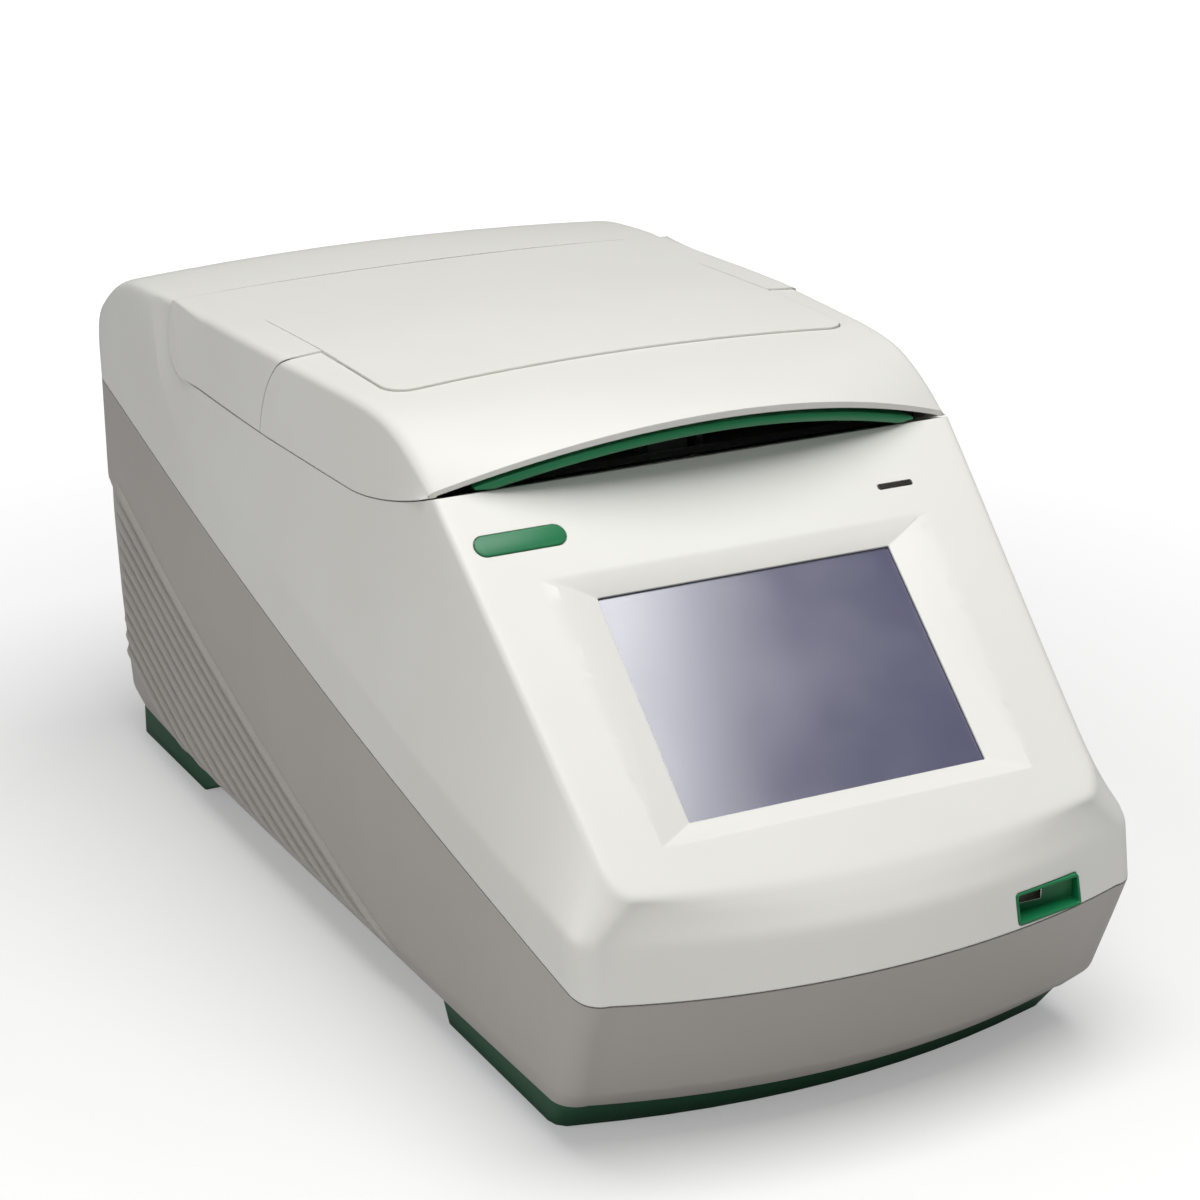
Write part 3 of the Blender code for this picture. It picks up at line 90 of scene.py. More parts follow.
bodyLines = {
    "partingZ": 62.8, "partingSlope": 0.218, "creaseZ": 81.5, "creaseSlope": 0.235,
    "chamferZ": 24.0, "cornerRadius": 9.0, "upturnBack": 86.0, "upturnRadius": 34.0,
    "faceTilt": math.radians(41), "wall": 3.0, "seam": 0.5, "shoulder": 14.0, "crown": 4.0,
    "lipStart": 2.0, "lipSweep": 15.5, "lipLean": 0.27,
    "hoodFall": [(177.5, 0.0), (106.5, 2.8), (72.5, 4.6), (52.5, 7.0), (32.5, 13.5), (14.0, 25.0)],
    "frontSteps": 16, "cornerSteps": 8, "sideSteps": 110, "rearSteps": 10,
}


def linear(code):
    parts = [int(code[place:place + 2], 16) / 255 for place in (1, 3, 5)]
    return [part / 12.92 if part <= 0.04045 else ((part + 0.055) / 1.055) ** 2.4 for part in parts] + [1.0]


def addNode(tree, kind, settings=None, links=None):
    node = tree.nodes.new(kind)
    for name, value in (settings or {}).items():
        if name in node.inputs:
            node.inputs[name].default_value = value
        else:
            setattr(node, name, value)
    for name, source in (links or {}).items():
        tree.links.new(source, node.inputs[name])
    return node


def newMaterial(name, colour, **values):
    made = bpy.data.materials.new(name)
    made.use_nodes = True
    shader = made.node_tree.nodes["Principled BSDF"]
    shader.inputs["Base Color"].default_value = linear(colour)
    for key, value in values.items():
        shader.inputs[key.replace("_", " ")].default_value = value
    return made, made.node_tree, shader


def mouldedPlastic(name, colour, shade, roughness, grainMm=0.45, grainDepth=0.05):
    # Injection-moulded plastic: an even satin skin, a fine eroded grain and soft edges.
    # The real grain is about 0.1 mm; it is drawn coarser so that it can be seen.
    made, tree, shader = newMaterial(name, colour, IOR=1.53, Roughness=roughness)
    place = addNode(tree, "ShaderNodeTexCoord").outputs["Object"]
    cloud = addNode(tree, "ShaderNodeTexNoise", {"Scale": 14.0, "Detail": 4.0}, {"Vector": place})
    mixed = addNode(tree, "ShaderNodeMix", {"data_type": "RGBA"})
    mixed.inputs[6].default_value = linear(colour)
    mixed.inputs[7].default_value = linear(shade)
    part = addNode(tree, "ShaderNodeMapRange", {"From Min": 0.35, "From Max": 0.65, "To Max": 0.35},
                   {"Value": cloud.outputs["Fac"]})
    tree.links.new(part.outputs["Result"], mixed.inputs[0])
    tree.links.new(mixed.outputs[2], shader.inputs["Base Color"])
    grain = addNode(tree, "ShaderNodeTexNoise", {"Scale": 1 / (grainMm * mm), "Detail": 2.0},
                    {"Vector": place})
    worn = addNode(tree, "ShaderNodeMapRange", {"To Min": roughness - 0.04, "To Max": roughness + 0.05},
                   {"Value": cloud.outputs["Fac"]})
    tree.links.new(worn.outputs["Result"], shader.inputs["Roughness"])
    edge = addNode(tree, "ShaderNodeBevel", {"samples": 6, "Radius": 0.5 * mm})
    bump = addNode(tree, "ShaderNodeBump", {"Strength": grainDepth, "Distance": 0.0002},
                   {"Height": grain.outputs["Fac"], "Normal": edge.outputs["Normal"]})
    tree.links.new(bump.outputs["Normal"], shader.inputs["Normal"])
    return made


def machinedMetal(name, colour, roughness, along=(1.0, 30.0, 30.0)):
    # Bare metal: bright, with fine lines left by rolling or cutting, 0.5 mm apart.
    made, tree, shader = newMaterial(name, colour, Metallic=1.0, Roughness=roughness)
    place = addNode(tree, "ShaderNodeTexCoord").outputs["Object"]
    turned = addNode(tree, "ShaderNodeMapping", {"Scale": along}, {"Vector": place})
    lines = addNode(tree, "ShaderNodeTexNoise", {"Scale": 1 / (0.5 * mm) / 30, "Detail": 3.0},
                    {"Vector": turned.outputs["Vector"]})
    worn = addNode(tree, "ShaderNodeMapRange", {"To Min": roughness - 0.08, "To Max": roughness + 0.10},
                   {"Value": lines.outputs["Fac"]})
    tree.links.new(worn.outputs["Result"], shader.inputs["Roughness"])
    edge = addNode(tree, "ShaderNodeBevel", {"samples": 4, "Radius": 0.3 * mm})
    bump = addNode(tree, "ShaderNodeBump", {"Strength": 0.06, "Distance": 0.0002},
                   {"Height": lines.outputs["Fac"], "Normal": edge.outputs["Normal"]})
    tree.links.new(bump.outputs["Normal"], shader.inputs["Normal"])
    return made


def screenGlass():
    # A resistive touch panel: a satin film over a dark, faintly violet display. It mirrors the
    # lights softly, and finger marks change how sharply.
    made, tree, shader = newMaterial("touchFilm", "#4b4a6b", IOR=2.3, Roughness=0.2)
    shader.inputs["Coat Weight"].default_value = 0.6
    shader.inputs["Coat Roughness"].default_value = 0.10
    place = addNode(tree, "ShaderNodeTexCoord").outputs["Object"]
    film = addNode(tree, "ShaderNodeTexNoise", {"Scale": 900.0, "Detail": 2.0}, {"Vector": place})
    smear = addNode(tree, "ShaderNodeTexNoise", {"Scale": 24.0, "Detail": 5.0, "Roughness": 0.6},
                    {"Vector": place})
    worn = addNode(tree, "ShaderNodeMapRange",
                   {"From Min": 0.3, "From Max": 0.7, "To Min": 0.16, "To Max": 0.24},
                   {"Value": smear.outputs["Fac"]})
    tree.links.new(worn.outputs["Result"], shader.inputs["Roughness"])
    bump = addNode(tree, "ShaderNodeBump", {"Strength": 0.03, "Distance": 0.0001},
                   {"Height": film.outputs["Fac"]})
    tree.links.new(bump.outputs["Normal"], shader.inputs["Normal"])
    return made


finishes = {
    # Moulded ABS shells: satin, warm white and warm grey; the grey has the coarser grain. The grey is the
    # lower shell's own light grey, darkened further as painted shade for its shadowed, undercut sides
    "whiteAbs": mouldedPlastic("whiteAbs", "#e9e8e2", "#e1dfd7", 0.42),
    "greyAbs": mouldedPlastic("greyAbs", "#b5b0aa", "#ada8a2", 0.50, grainMm=0.6, grainDepth=0.10),
    # Green trim: glossier ABS above, and dull soft rubber under the feet
    "greenAbs": mouldedPlastic("greenAbs", "#0e7a49", "#0c6d41", 0.38),
    "greenTpe": mouldedPlastic("greenTpe", "#0a4d2e", "#084226", 0.55, grainMm=0.8, grainDepth=0.12),
    # Black nylon inside and on the inlet, and the smooth dark lens over the status light
    "blackNylon": mouldedPlastic("blackNylon", "#1b1b1c", "#141415", 0.52, grainMm=0.5, grainDepth=0.10),
    "darkLens": mouldedPlastic("darkLens", "#23231f", "#1c1c19", 0.20),
    # Zinc-plated sheet is greyer and duller than nickel-plated pins; anodising softens aluminium
    "zincSteel": machinedMetal("zincSteel", "#b6b8b8", 0.34),
    "nickelSteel": machinedMetal("nickelSteel", "#cfcdc8", 0.20),
    "anodisedAluminium": machinedMetal("anodisedAluminium", "#c2c4c6", 0.36, along=(30.0, 1.0, 30.0)),
    # The circuit board's lacquer is smooth and dark; the ceramic plates are chalky
    "solderMask": mouldedPlastic("solderMask", "#12482f", "#0e3b26", 0.34, grainMm=1.2, grainDepth=0.10),
    "alumina": mouldedPlastic("alumina", "#e6e2d8", "#dcd7cb", 0.60),
    "touchFilm": screenGlass(),
}
print("materials made")


def selectOnly(piece):
    bpy.ops.object.select_all(action="DESELECT")
    bpy.context.view_layer.objects.active = piece
    piece.select_set(True)


def placePiece(name, work, finish):
    mesh = bpy.data.meshes.new(name)
    work.to_mesh(mesh)
    work.free()
    piece = bpy.data.objects.new(name, mesh)
    bpy.context.scene.collection.objects.link(piece)
    if finish:
        mesh.materials.append(finishes[finish])
    return piece


def newPiece(name, points, faces, finish=None):
    work = bmesh.new()
    corners = [work.verts.new(Vector(point) * mm) for point in points]
    for face in faces:
        work.faces.new([corners[index] for index in face])
    bmesh.ops.remove_doubles(work, verts=work.verts, dist=2e-6)
    bmesh.ops.recalc_face_normals(work, faces=work.faces)
    return placePiece(name, work, finish)


def ringFaces(levels, count):
    faces = []
    for level in range(levels - 1):
        low, high = level * count, (level + 1) * count
        for index in range(count):
            after = (index + 1) % count
            faces.append((low + index, low + after, high + after, high + index))
    return faces


def loftPiece(name, rings, finish=None, strips=False):
    # A skin over closed rings; strips fills the two ends with quads, for rings that aren't flat
    count = len(rings[0])
    points = [point for ring in rings for point in ring]
    faces = ringFaces(len(rings), count)
    for base in (0, (len(rings) - 1) * count):
        if not strips:
            faces.append(tuple(range(base, base + count)))
            continue
        for index in range(count // 2):
            face = (index, index + 1, count - 2 - index, count - 1 - index)
            face = tuple(dict.fromkeys(base + corner for corner in face))
            if len(face) > 2:
                faces.append(face)
    return newPiece(name, points, faces, finish)


def prism(name, axis, flat, start, end):
    # A flat outline in the two other directions, drawn out along x, y or z
    def place(a, b, along):
        return {"x": (along, a, b), "y": (a, along, b), "z": (a, b, along)}[axis]
    return loftPiece(name, [[place(a, b, along) for a, b in flat] for along in (start, end)])


def arc(centre, radius, start, end, steps):
    points = []
    for step in range(steps + 1):
        angle = math.radians(start + (end - start) * step / steps)
        points.append((centre[0] + radius * math.cos(angle), centre[1] + radius * math.sin(angle)))
    return points


def roundBox(centre, width, height, radius, steps=6):
    x, y = width / 2 - radius, height / 2 - radius
    points = []
    for turn, (sx, sy) in enumerate([(1, 1), (-1, 1), (-1, -1), (1, -1)]):
        points += arc((centre[0] + sx * x, centre[1] + sy * y), radius, 90 * turn, 90 * turn + 90, steps)
    return points


def cutWith(piece, *cutters, operation="DIFFERENCE"):
    # Each Boolean is applied at once and its cutter removed
    for cutter in cutters:
        step = piece.modifiers.new("cut", "BOOLEAN")
        step.operation = operation
        step.object = cutter
        selectOnly(piece)
        bpy.ops.object.modifier_apply(modifier=step.name)
        bpy.data.objects.remove(cutter)
    return piece


def finishPiece(piece, body, node, angle=30):
    selectOnly(piece)
    bpy.ops.object.shade_smooth_by_angle(angle=math.radians(angle))
    piece.select_set(False)
    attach(piece, body)
    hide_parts(node)
    return piece


def blend(points, at):
    # A smooth curve through (position, value) pairs
    if at <= points[0][0]:
        return points[0][1]
    if at >= points[-1][0]:
        return points[-1][1]
    slopes = []
    for index in range(len(points)):
        before, after = points[max(index - 1, 0)], points[min(index + 1, len(points) - 1)]
        slopes.append((after[1] - before[1]) / (after[0] - before[0]))
    pairs, turns = zip(points, points[1:]), zip(slopes, slopes[1:])
    for (start, end), (rise, fall) in zip(pairs, turns):
        if at <= end[0]:
            span = end[0] - start[0]
            part = (at - start[0]) / span
            keep = (1 + 2 * part) * (1 - part) ** 2
            bend = part * (1 - part) ** 2 * rise - part**2 * (1 - part) * fall
            return start[1] * keep + end[1] * (1 - keep) + span * bend
    return points[-1][1]


def lipY(x):
    # The lower lip of the front sweeps back towards the sides
    return frontY + bodyLines["lipStart"] + bodyLines["lipSweep"] * (x / halfWidth) ** 2


def partingZ(y):
    climb = bodyLines["partingSlope"] * (y - frontY - 15.0)
    return bodyLines["partingZ"] + (climb + math.hypot(climb, 3.0)) / 2


def creaseZ(y):
    line = bodyLines["creaseZ"] + bodyLines["creaseSlope"] * (y - frontY - 8.0)
    reach = bodyLines["upturnRadius"]
    near = min(max((y - rearY + bodyLines["upturnBack"] + reach) / reach, 0.0), 1.0)
    top = hoodTop(topHalf(y), y) - bodyLines["shoulder"]
    return line + (top - line) * (1 - math.sqrt(1 - near**2))


def hoodTop(x, y):
    # Crowned across, level over the lid and falling away to the rear
    fall = blend([(rearY - distance, drop) for distance, drop in bodyLines["hoodFall"]], y)
    return hoodZ - fall + bodyLines["crown"] * max(1 - (x / topHalf(y)) ** 2, 0.0)


def upperTop(x, y, inset, drop):
    return min(faceZ(y) - drop, hoodTop(x, y) - inset)


def faceZ(y):
    return ridgeZ + math.tan(bodyLines["faceTilt"]) * (y - ridgeY)


def seamZ(y):
    reach = max((flatY - y) / (flatY - ridgeY), 0.0)
    return deckZ + (ridgeZ - deckZ) * reach**1.6


def halfAt(y, *offsets):
    # Half width from (distance behind the front, offset) pairs
    return halfWidth + blend([(frontY + back, offset) for back, offset in offsets], y)


def creaseHalf(y):
    return halfAt(y, (20, -6.5), (109.5, -1.5), (219.5, 0), (329.5, -1), (463, -5))


def topHalf(y):
    return halfAt(y, (18, -20.5), (67.5, -16.9), (138.5, -12), (179.5, -10.3), (229.5, -7.5),
                  (270.5, -5.3), (345.5, -5.2), (463, -8))


def midHalf(y):
    bulge = blend([(rearY - 96, 0.22), (rearY - 78, 0.80)], y)
    return topHalf(y) + (creaseHalf(y) - topHalf(y)) * bulge


def partingHalf(y):
    return halfAt(y, (16, -7), (129.5, -2.5), (219.5, -0.7), (329.5, -1.5), (463, -5.5))


def footHalf(y):
    return halfAt(y, (32, -8.5), (154.5, -6.5), (349.5, -5.5), (448, -8.5))


def baseHalf(y):
    return footHalf(y) - 4.0


def sideX(y, z):
    # Half width of the upper shell's side
    tall = max(hoodTop(topHalf(y), y) - creaseZ(y), 1.0)
    part = min(max((z - creaseZ(y)) / tall, 0.0), 1.0)
    return creaseHalf(y) + (topHalf(y) - creaseHalf(y)) * part


def outline(front, frontCorner, rear, rearCorner, half, inset=0.0, radius=None):
    # Half a plan outline, from the rear centre round to the front centre
    radius = radius or bodyLines["cornerRadius"]
    front, frontCorner = front + inset, frontCorner + inset
    rear, rearCorner = rear - inset, rearCorner - inset
    rearHalf, frontHalf = half(rearCorner) - inset, half(frontCorner) - inset
    points = []
    for step in range(bodyLines["rearSteps"]):
        part = step / bodyLines["rearSteps"]
        points.append((part * (rearHalf - radius), rear + (rearCorner - rear) * part**2))
    points += arc((rearHalf - radius, rearCorner - radius), radius, 90, 0, bodyLines["cornerSteps"])[:-1]
    high, low = rearCorner - radius, frontCorner + radius
    for step in range(bodyLines["sideSteps"] + 1):
        y = high + (low - high) * step / bodyLines["sideSteps"]
        points.append((half(y) - inset, y))
    points += arc((frontHalf - radius, frontCorner + radius), radius, 0, -90, bodyLines["cornerSteps"])[1:]
    for step in range(1, bodyLines["frontSteps"] + 1):
        part = 1 - step / bodyLines["frontSteps"]
        points.append((part * (frontHalf - radius), front + (frontCorner - front) * part**2))
    return points


def softened(points, radii, steps=4, straight=3):
    # A profile with each inner corner rounded over the given length
    result = []
    for index in range(len(points) - 1):
        start, end = Vector(points[index]), Vector(points[index + 1])
        length = (end - start).length
        trimStart = min(radii[index], length * 0.45)
        trimEnd = min(radii[index + 1], length * 0.45)
        way = (end - start) / max(length, 1e-6)
        first, last = start + way * trimStart, end - way * trimEnd
        for step in range(straight + 1):
            result.append(first + (last - first) * step / straight)
        if index < len(points) - 2:
            ahead = Vector(points[index + 2]) - end
            nextTrim = min(radii[index + 1], ahead.length * 0.45)
            leave = end + ahead.normalized() * nextTrim
            for step in range(1, steps):
                part = step / steps
                result.append(last * (1 - part) ** 2 + end * 2 * part * (1 - part) + leave * part**2)
    return result


def bodyPiece(name, profiles, finish=None, top=None):
    # profiles: one list of points, bottom to top, for each place along the half outline.
    # top gives the height of the upper surface, where that isn't flat across.
    levels = len(profiles[0])
    rings = []
    for level in range(levels):
        half = [profile[level] for profile in profiles]
        rings.append(half + [(-point[0], point[1], point[2]) for point in half[-2:0:-1]])
    count = len(rings[0])
    points = [point for ring in rings for point in ring]
    faces = ringFaces(levels, count)
    for base, surface in ((0, None), ((levels - 1) * count, top)):
        rows = []
        for index in range(count // 2 + 1):
            x, y, _ = points[base + index]
            row = [base + index]
            if surface and 0 < index < count // 2:
                for share in (0.85, 0.65, 0.45, 0.22, 0.0, -0.22, -0.45, -0.65, -0.85):
                    row.append(len(points))
                    points.append((x * share, y, surface(x * share, y)))
            rows.append(row + [base + (-index) % count])
        for before, after in zip(rows, rows[1:]):
            faces += stripFaces(before, after)
    return newPiece(name, points, faces, finish)


def stripFaces(before, after):
    # Either row may be a single point
    for single, row in ((before, after), (after, before)):
        if len(set(single)) == 1 and len(row) == 2:
            return [tuple(dict.fromkeys((single[0], *row)))]
        if len(set(single)) == 1:
            return [(single[0], *pair) for pair in zip(row, row[1:])]
    return [(a, b, d, c) for (a, b), (c, d) in zip(zip(before, before[1:]), zip(after, after[1:]))]


def upperProfiles(inset, drop, low=0.0):
    plans = [
        outline(frontY, frontY + 16, rearY, rearY - 3.5, partingHalf, inset),
        outline(frontY + 5, frontY + 20, rearY, rearY - 3.5, creaseHalf, inset),
        outline(frontY + 10, frontY + 20, rearY - 3, rearY - 6.5, midHalf, inset),
        outline(frontY + 14.5, frontY + 19.5, rearY - 14, rearY - 17.5, topHalf, inset),
        outline(frontY + 14.5, frontY + 19.5, rearY - 14, rearY - 17.5, topHalf, inset + 9.0, 4.0),
    ]
    profiles = []
    for places in zip(*plans):
        heights = []
        for index, (x, y) in enumerate(places):
            top = upperTop(x, y, inset, drop)
            crease = min(creaseZ(y), top - (bodyLines["shoulder"] if faceZ(y) > hoodZ else 4.0))
            parting = partingZ(y) + bodyLines["seam"] / 2 - low
            heights.append((parting, crease, top - 0.22 * (top - crease), top, top)[index])
        corners = [(x, y, z) for (x, y), z in zip(places, heights)]
        rear = blend([(rearY - 100, 0.0), (rearY - 70, 1.0)], places[1][1])
        radii = [0, 2.6 + 6 * rear, 2.0 + 7 * rear, 2.4 + 6.5 * rear, 0]
        profiles.append(softened(corners, radii))
    return profiles


def lowerProfiles(inset, lift, high=0.0):
    plans = [
        outline(frontY + 34, frontY + 50, rearY - 25, rearY - 27, baseHalf, inset + 8, 4.0),
        outline(frontY + 26.5, frontY + 42.5, rearY - 17, rearY - 19, baseHalf, inset),
        outline(frontY + 16.5, frontY + 32.5, rearY - 13, rearY - 15, footHalf, inset),
        outline(frontY + 7, frontY + 23, rearY - 2, rearY - 5.5, partingHalf, inset),
        outline(frontY, frontY + 16, rearY, rearY - 3.5, partingHalf, inset),
    ]
    profiles = []
    for places in zip(*plans):
        corners = []
        for index, (x, y) in enumerate(places):
            top = partingZ(y) - bodyLines["seam"] / 2
            middle = bodyLines["chamferZ"] + 0.6 * (top - bodyLines["chamferZ"])
            z = (baseZ + lift, baseZ + lift, bodyLines["chamferZ"] + lift / 2, middle, top + high)[index]
            corners.append((x, y, z))
        profiles.append(softened(corners, [0, 1.5, 2.0, 6.0, 0]))
    return profiles


def acrossBody(name, outlineYz):
    return prism(name, "x", outlineYz, -halfWidth - 20, halfWidth + 20)


def lidSpace(name, grow):
    # What the closed lid fills: below it the deck's curve, behind it the round end at the hinge
    low, radius = -bodyLines["seam"] / 2 - grow, hingeRadius + bodyLines["seam"] + grow
    top = hoodZ + 60
    points = []
    for step in range(17):
        y = ridgeY - 8 + (flatY - ridgeY + 8) * step / 16
        points.append((y, seamZ(y) + low))
    turn = math.degrees(math.asin((hoodZ + 3 - hingeZ) / radius))
    points += arc((hingeY, hingeZ), radius, -90, turn, 24)
    return acrossBody(name, [(points[0][0] - 20, top), *points, (points[-1][0], top)])


stepSizes = {"depth": 19, "wallTop": 113, "openTop": 137}


def rearStep(name, grow):
    # The stepped-in rear wall that carries the sockets
    wall, beyond, below = rearY - stepSizes["depth"] - grow, rearY + 20, -20
    return acrossBody(name, [(wall, below), (wall, stepSizes["wallTop"] + grow),
                             (beyond, stepSizes["openTop"] + grow), (beyond, below)])


def onFace(u, v, n):
    # A point on the sloping face: u across, v up the slope from the screen's centre, n outwards
    tilt = bodyLines["faceTilt"]
    y = ridgeY + (v - 89.0) * math.cos(tilt) - n * math.sin(tilt)
    z = ridgeZ + (v - 89.0) * math.sin(tilt) + n * math.cos(tilt)
    return (u, y, z)


def facePlate(name, centre, width, height, radius, low, high, finish=None, steps=6):
    flat = roundBox(centre, width, height, radius, steps)
    return loftPiece(name, [[onFace(u, v, n) for u, v in flat] for n in (low, high)], finish)


def blockCutter(name, low, high):
    (x0, y0, z0), (x1, y1, z1) = low, high
    return prism(name, "z", [(x0, y0), (x1, y0), (x1, y1), (x0, y1)], z0, z1)


screenSizes = {"width": 115.2, "height": 86.4, "side": 14.0, "end": 7.6, "depth": 3.0, "margin": 3.3,
               "lip": 0.8, "corner": 0.6, "pocketCorner": 2.0, "pocketDepth": 21.0}


def screenCutters():
    s = screenSizes
    rings = []
    for share in (0.0, 1.0, 1.5):
        width, height = s["width"] + 2 * s["side"] * share, s["height"] + 2 * s["end"] * share
        flat = roundBox((0, 0), width, height, s["corner"], 3)
        rings.append([onFace(u, v, s["depth"] * (share - 1)) for u, v in flat])
    frameCut = loftPiece("frameCut", rings)
    opening = facePlate("openingCut", (0, 0), s["width"], s["height"], s["corner"], -12, 5)
    pocket = facePlate("pocketCut", (0, 0), s["width"] + 2 * s["margin"], s["height"] + 2 * s["margin"],
                       s["pocketCorner"], -s["pocketDepth"], -s["depth"] - s["lip"])
    return frameCut, opening, pocket


upperSizes = {
    "blockGap": 0.3, "blockCorner": 4.0, "socket": (29, 11), "socketCorner": 1.5,
    "mouthSteps": ((1.0, 0.0), (0.35, 0.15), (-0.1, 0.45), (-0.4, 0.9), (-5.0, 0.9)),
    "badgePlace": (-78, 68), "badge": (34.6, 8.6), "badgeCorner": 4.3,
    "lightPlace": (68.8, 65), "light": (14.4, 2.4), "lightCorner": 0.9,
    "slotHalf": (10, 8.5), "slotBehind": 4, "bracketHalf": (4.3, 8.8), "under": 15,
}


def makeUpperShell():
    s = upperSizes
    shell = bodyPiece("upperShell", upperProfiles(0, 0), "whiteAbs", lambda x, y: upperTop(x, y, 0, 0))
    inset, drop = bodyLines["wall"], 6.0 / math.cos(bodyLines["faceTilt"])
    hollow = bodyPiece("hollow", upperProfiles(inset, drop, 20.0), None,
                       lambda x, y: upperTop(x, y, inset, drop))
    cutWith(hollow, lidSpace("spaceInner", bodyLines["wall"]))
    cutWith(shell, lidSpace("space", 0), hollow)
    cutWith(shell, *screenCutters())
    low, high = boxMm("block_collar")
    middle, size = (low + high) / 2, high - low
    flat = roundBox((middle.x, middle.y), size.x + 2 * s["blockGap"], size.y + 2 * s["blockGap"],
                    s["blockCorner"])
    pocket = prism("pocket", "z", flat, deckZ - 13, deckZ + 10)
    low, high = boxMm("usb_liner")
    centre = (low + high) / 2
    flat = roundBox((centre.x, centre.z), *s["socket"], s["socketCorner"])
    socket = prism("socket", "y", flat, low.y - 20, high.y + 5)
    cutWith(shell, pocket, socket, socketMouth(centre))
    badge = facePlate("badgeCut", s["badgePlace"], *s["badge"], s["badgeCorner"], -1.0, 5, steps=10)
    light = facePlate("lightCut", s["lightPlace"], *s["light"], s["lightCorner"], -14, 5)
    hookY = boxMm("latch_hook")[1].y - s["slotBehind"]
    x, y = s["slotHalf"]
    slot = blockCutter("slot", (-x, hookY - y, deckZ - s["under"]), (x, hookY + y, deckZ + s["under"]))
    cutWith(shell, badge, light, slot)
    across, along = s["bracketHalf"]
    for x in (-pinX, pinX):
        cutWith(shell, blockCutter("bracketSlot", (x - across, hingeY - along, deckZ - s["under"]),
                                   (x + across, hingeY + along, deckZ + 6)))
    finishPiece(shell, "base", "upper_shell")


def socketMouth(centre):
    # The rounded lead-in round the front socket, parallel to the leaning lip
    turn = 2 * bodyLines["lipSweep"] * centre.x / halfWidth**2
    rings = []
    for back, spread in upperSizes["mouthSteps"]:
        width, height = (size + 2 * spread for size in upperSizes["socket"])
        flat = roundBox((centre.x, centre.z), width, height, upperSizes["socketCorner"] + spread)
        rings.append([(x, lipY(centre.x) + back + turn * (x - centre.x)
                       + bodyLines["lipLean"] * (z - centre.z), z) for x, z in flat])
    return loftPiece("mouth", rings)


def makeLowerShell():
    # The lower shell's grey is partly painted shade: it is darker than its plastic so that it looks
    # shadowed
    shell = bodyPiece("lowerShell", lowerProfiles(0, 0), "greyAbs")
    hollow = bodyPiece("hollow", lowerProfiles(bodyLines["wall"], bodyLines["wall"], 20.0))
    cutWith(hollow, rearStep("stepInner", bodyLines["wall"]))
    cutWith(shell, rearStep("step", 0), hollow)
    margin = Vector((0.3, 10, 0.3))
    low, high = boxMm("rear_panel")
    cutWith(shell, blockCutter("opening", low - margin, high + margin))
    for side in (-1, 1):
        cutWith(shell, sideRibs(side), operation="UNION")
    for number in range(1, 5):
        low, high = boxMm(f"base_screw_{number}")
        centre = (low + high) / 2
        flat = arc((centre.x, centre.y), 2.0, 0, 337.5, 15)
        cutWith(shell, prism("hole", "z", flat, baseZ - 5, baseZ + 8))
    finishPiece(shell, "base", "lower_shell")


def lowerX(y, z):
    # Half width of the lower shell's side
    chamfer = bodyLines["chamferZ"]
    middle = chamfer + 0.6 * (partingZ(y) - chamfer)
    part = min(max((z - chamfer) / (middle - chamfer), 0.0), 1.0)
    under = max((chamfer - z) / (chamfer - baseZ), 0.0)
    return footHalf(y) + (partingHalf(y) - footHalf(y)) * part + (baseHalf(y) - footHalf(y)) * under


ribSizes = {"count": 11, "slope": 0.355, "startY": -68.0, "startZ": 17.0, "pitch": 7.6,
            "width": 4.4, "proud": 1.7, "endY": 213.0, "stations": 40, "around": 8, "sink": 2.0}


def sideRibs(side):
    # Slanting grip ridges on the rear half of the side, all in one cutter
    r = ribSizes
    points, faces, count = [], [], r["around"] + 2
    lean = math.atan(r["slope"])
    across = (-math.sin(lean), math.cos(lean))
    for rib in range(r["count"]):
        firstY = r["startY"] + rib * r["pitch"] / r["slope"]
        base = len(points)
        for station in range(r["stations"] + 1):
            part = station / r["stations"]
            y = firstY + (r["endY"] - firstY) * part
            z = r["startZ"] + r["slope"] * (y - firstY)
            ends = min(1.0, part * 14, (1 - part) * 14)
            height = r["proud"] * math.sqrt(max(1 - (1 - ends) ** 2, 0.0))
            for step in range(r["around"] + 1):
                share = 2 * step / r["around"] - 1
                reach = share * r["width"] / 2
                atY, atZ = y + across[0] * reach, z + across[1] * reach
                out = height * math.cos(share * math.pi / 2) - (0.3 if abs(share) == 1 else 0.0)
                points.append((side * (lowerX(atY, atZ) + out), atY, atZ))
            points.append((side * (lowerX(y, z) - r["sink"]), y, z))
        for face in ringFaces(r["stations"] + 1, count):
            faces.append(tuple(base + corner for corner in face))
        for end in (base, base + r["stations"] * count):
            faces.append(tuple(range(end, end + count)))
    return newPiece("ribs", points, faces)


lidSizes = {
    # Where each row of the top meets the lid's edge and its centre line, and how high it is there
    "places": [(-88.7, -107.0), (-78.0, -98.0), (-64.5, -84.0), (-52.0, -66.0), (-34.0, -38.0),
               (-15.0, -12.0), (14.0, 14.0), (41.0, 41.0), (73.0, 73.0), (105.0, 105.0)],
    "edgeRise": [13.5, 20.6, 27.5, 31.0, 32.3, 32.2, 31.8, 31.2, 30.3, 29.0],
    "centreRise": [33.0, 34.8, 36.1, 36.9, 37.1, 37.0, 36.5, 35.7, 34.4, 32.8],
    "middle": 4.0, "rows": 46, "edgeRound": 4.0, "panelHalf": 93.0, "panelRaise": 0.8, "panelGap": 0.4,
}


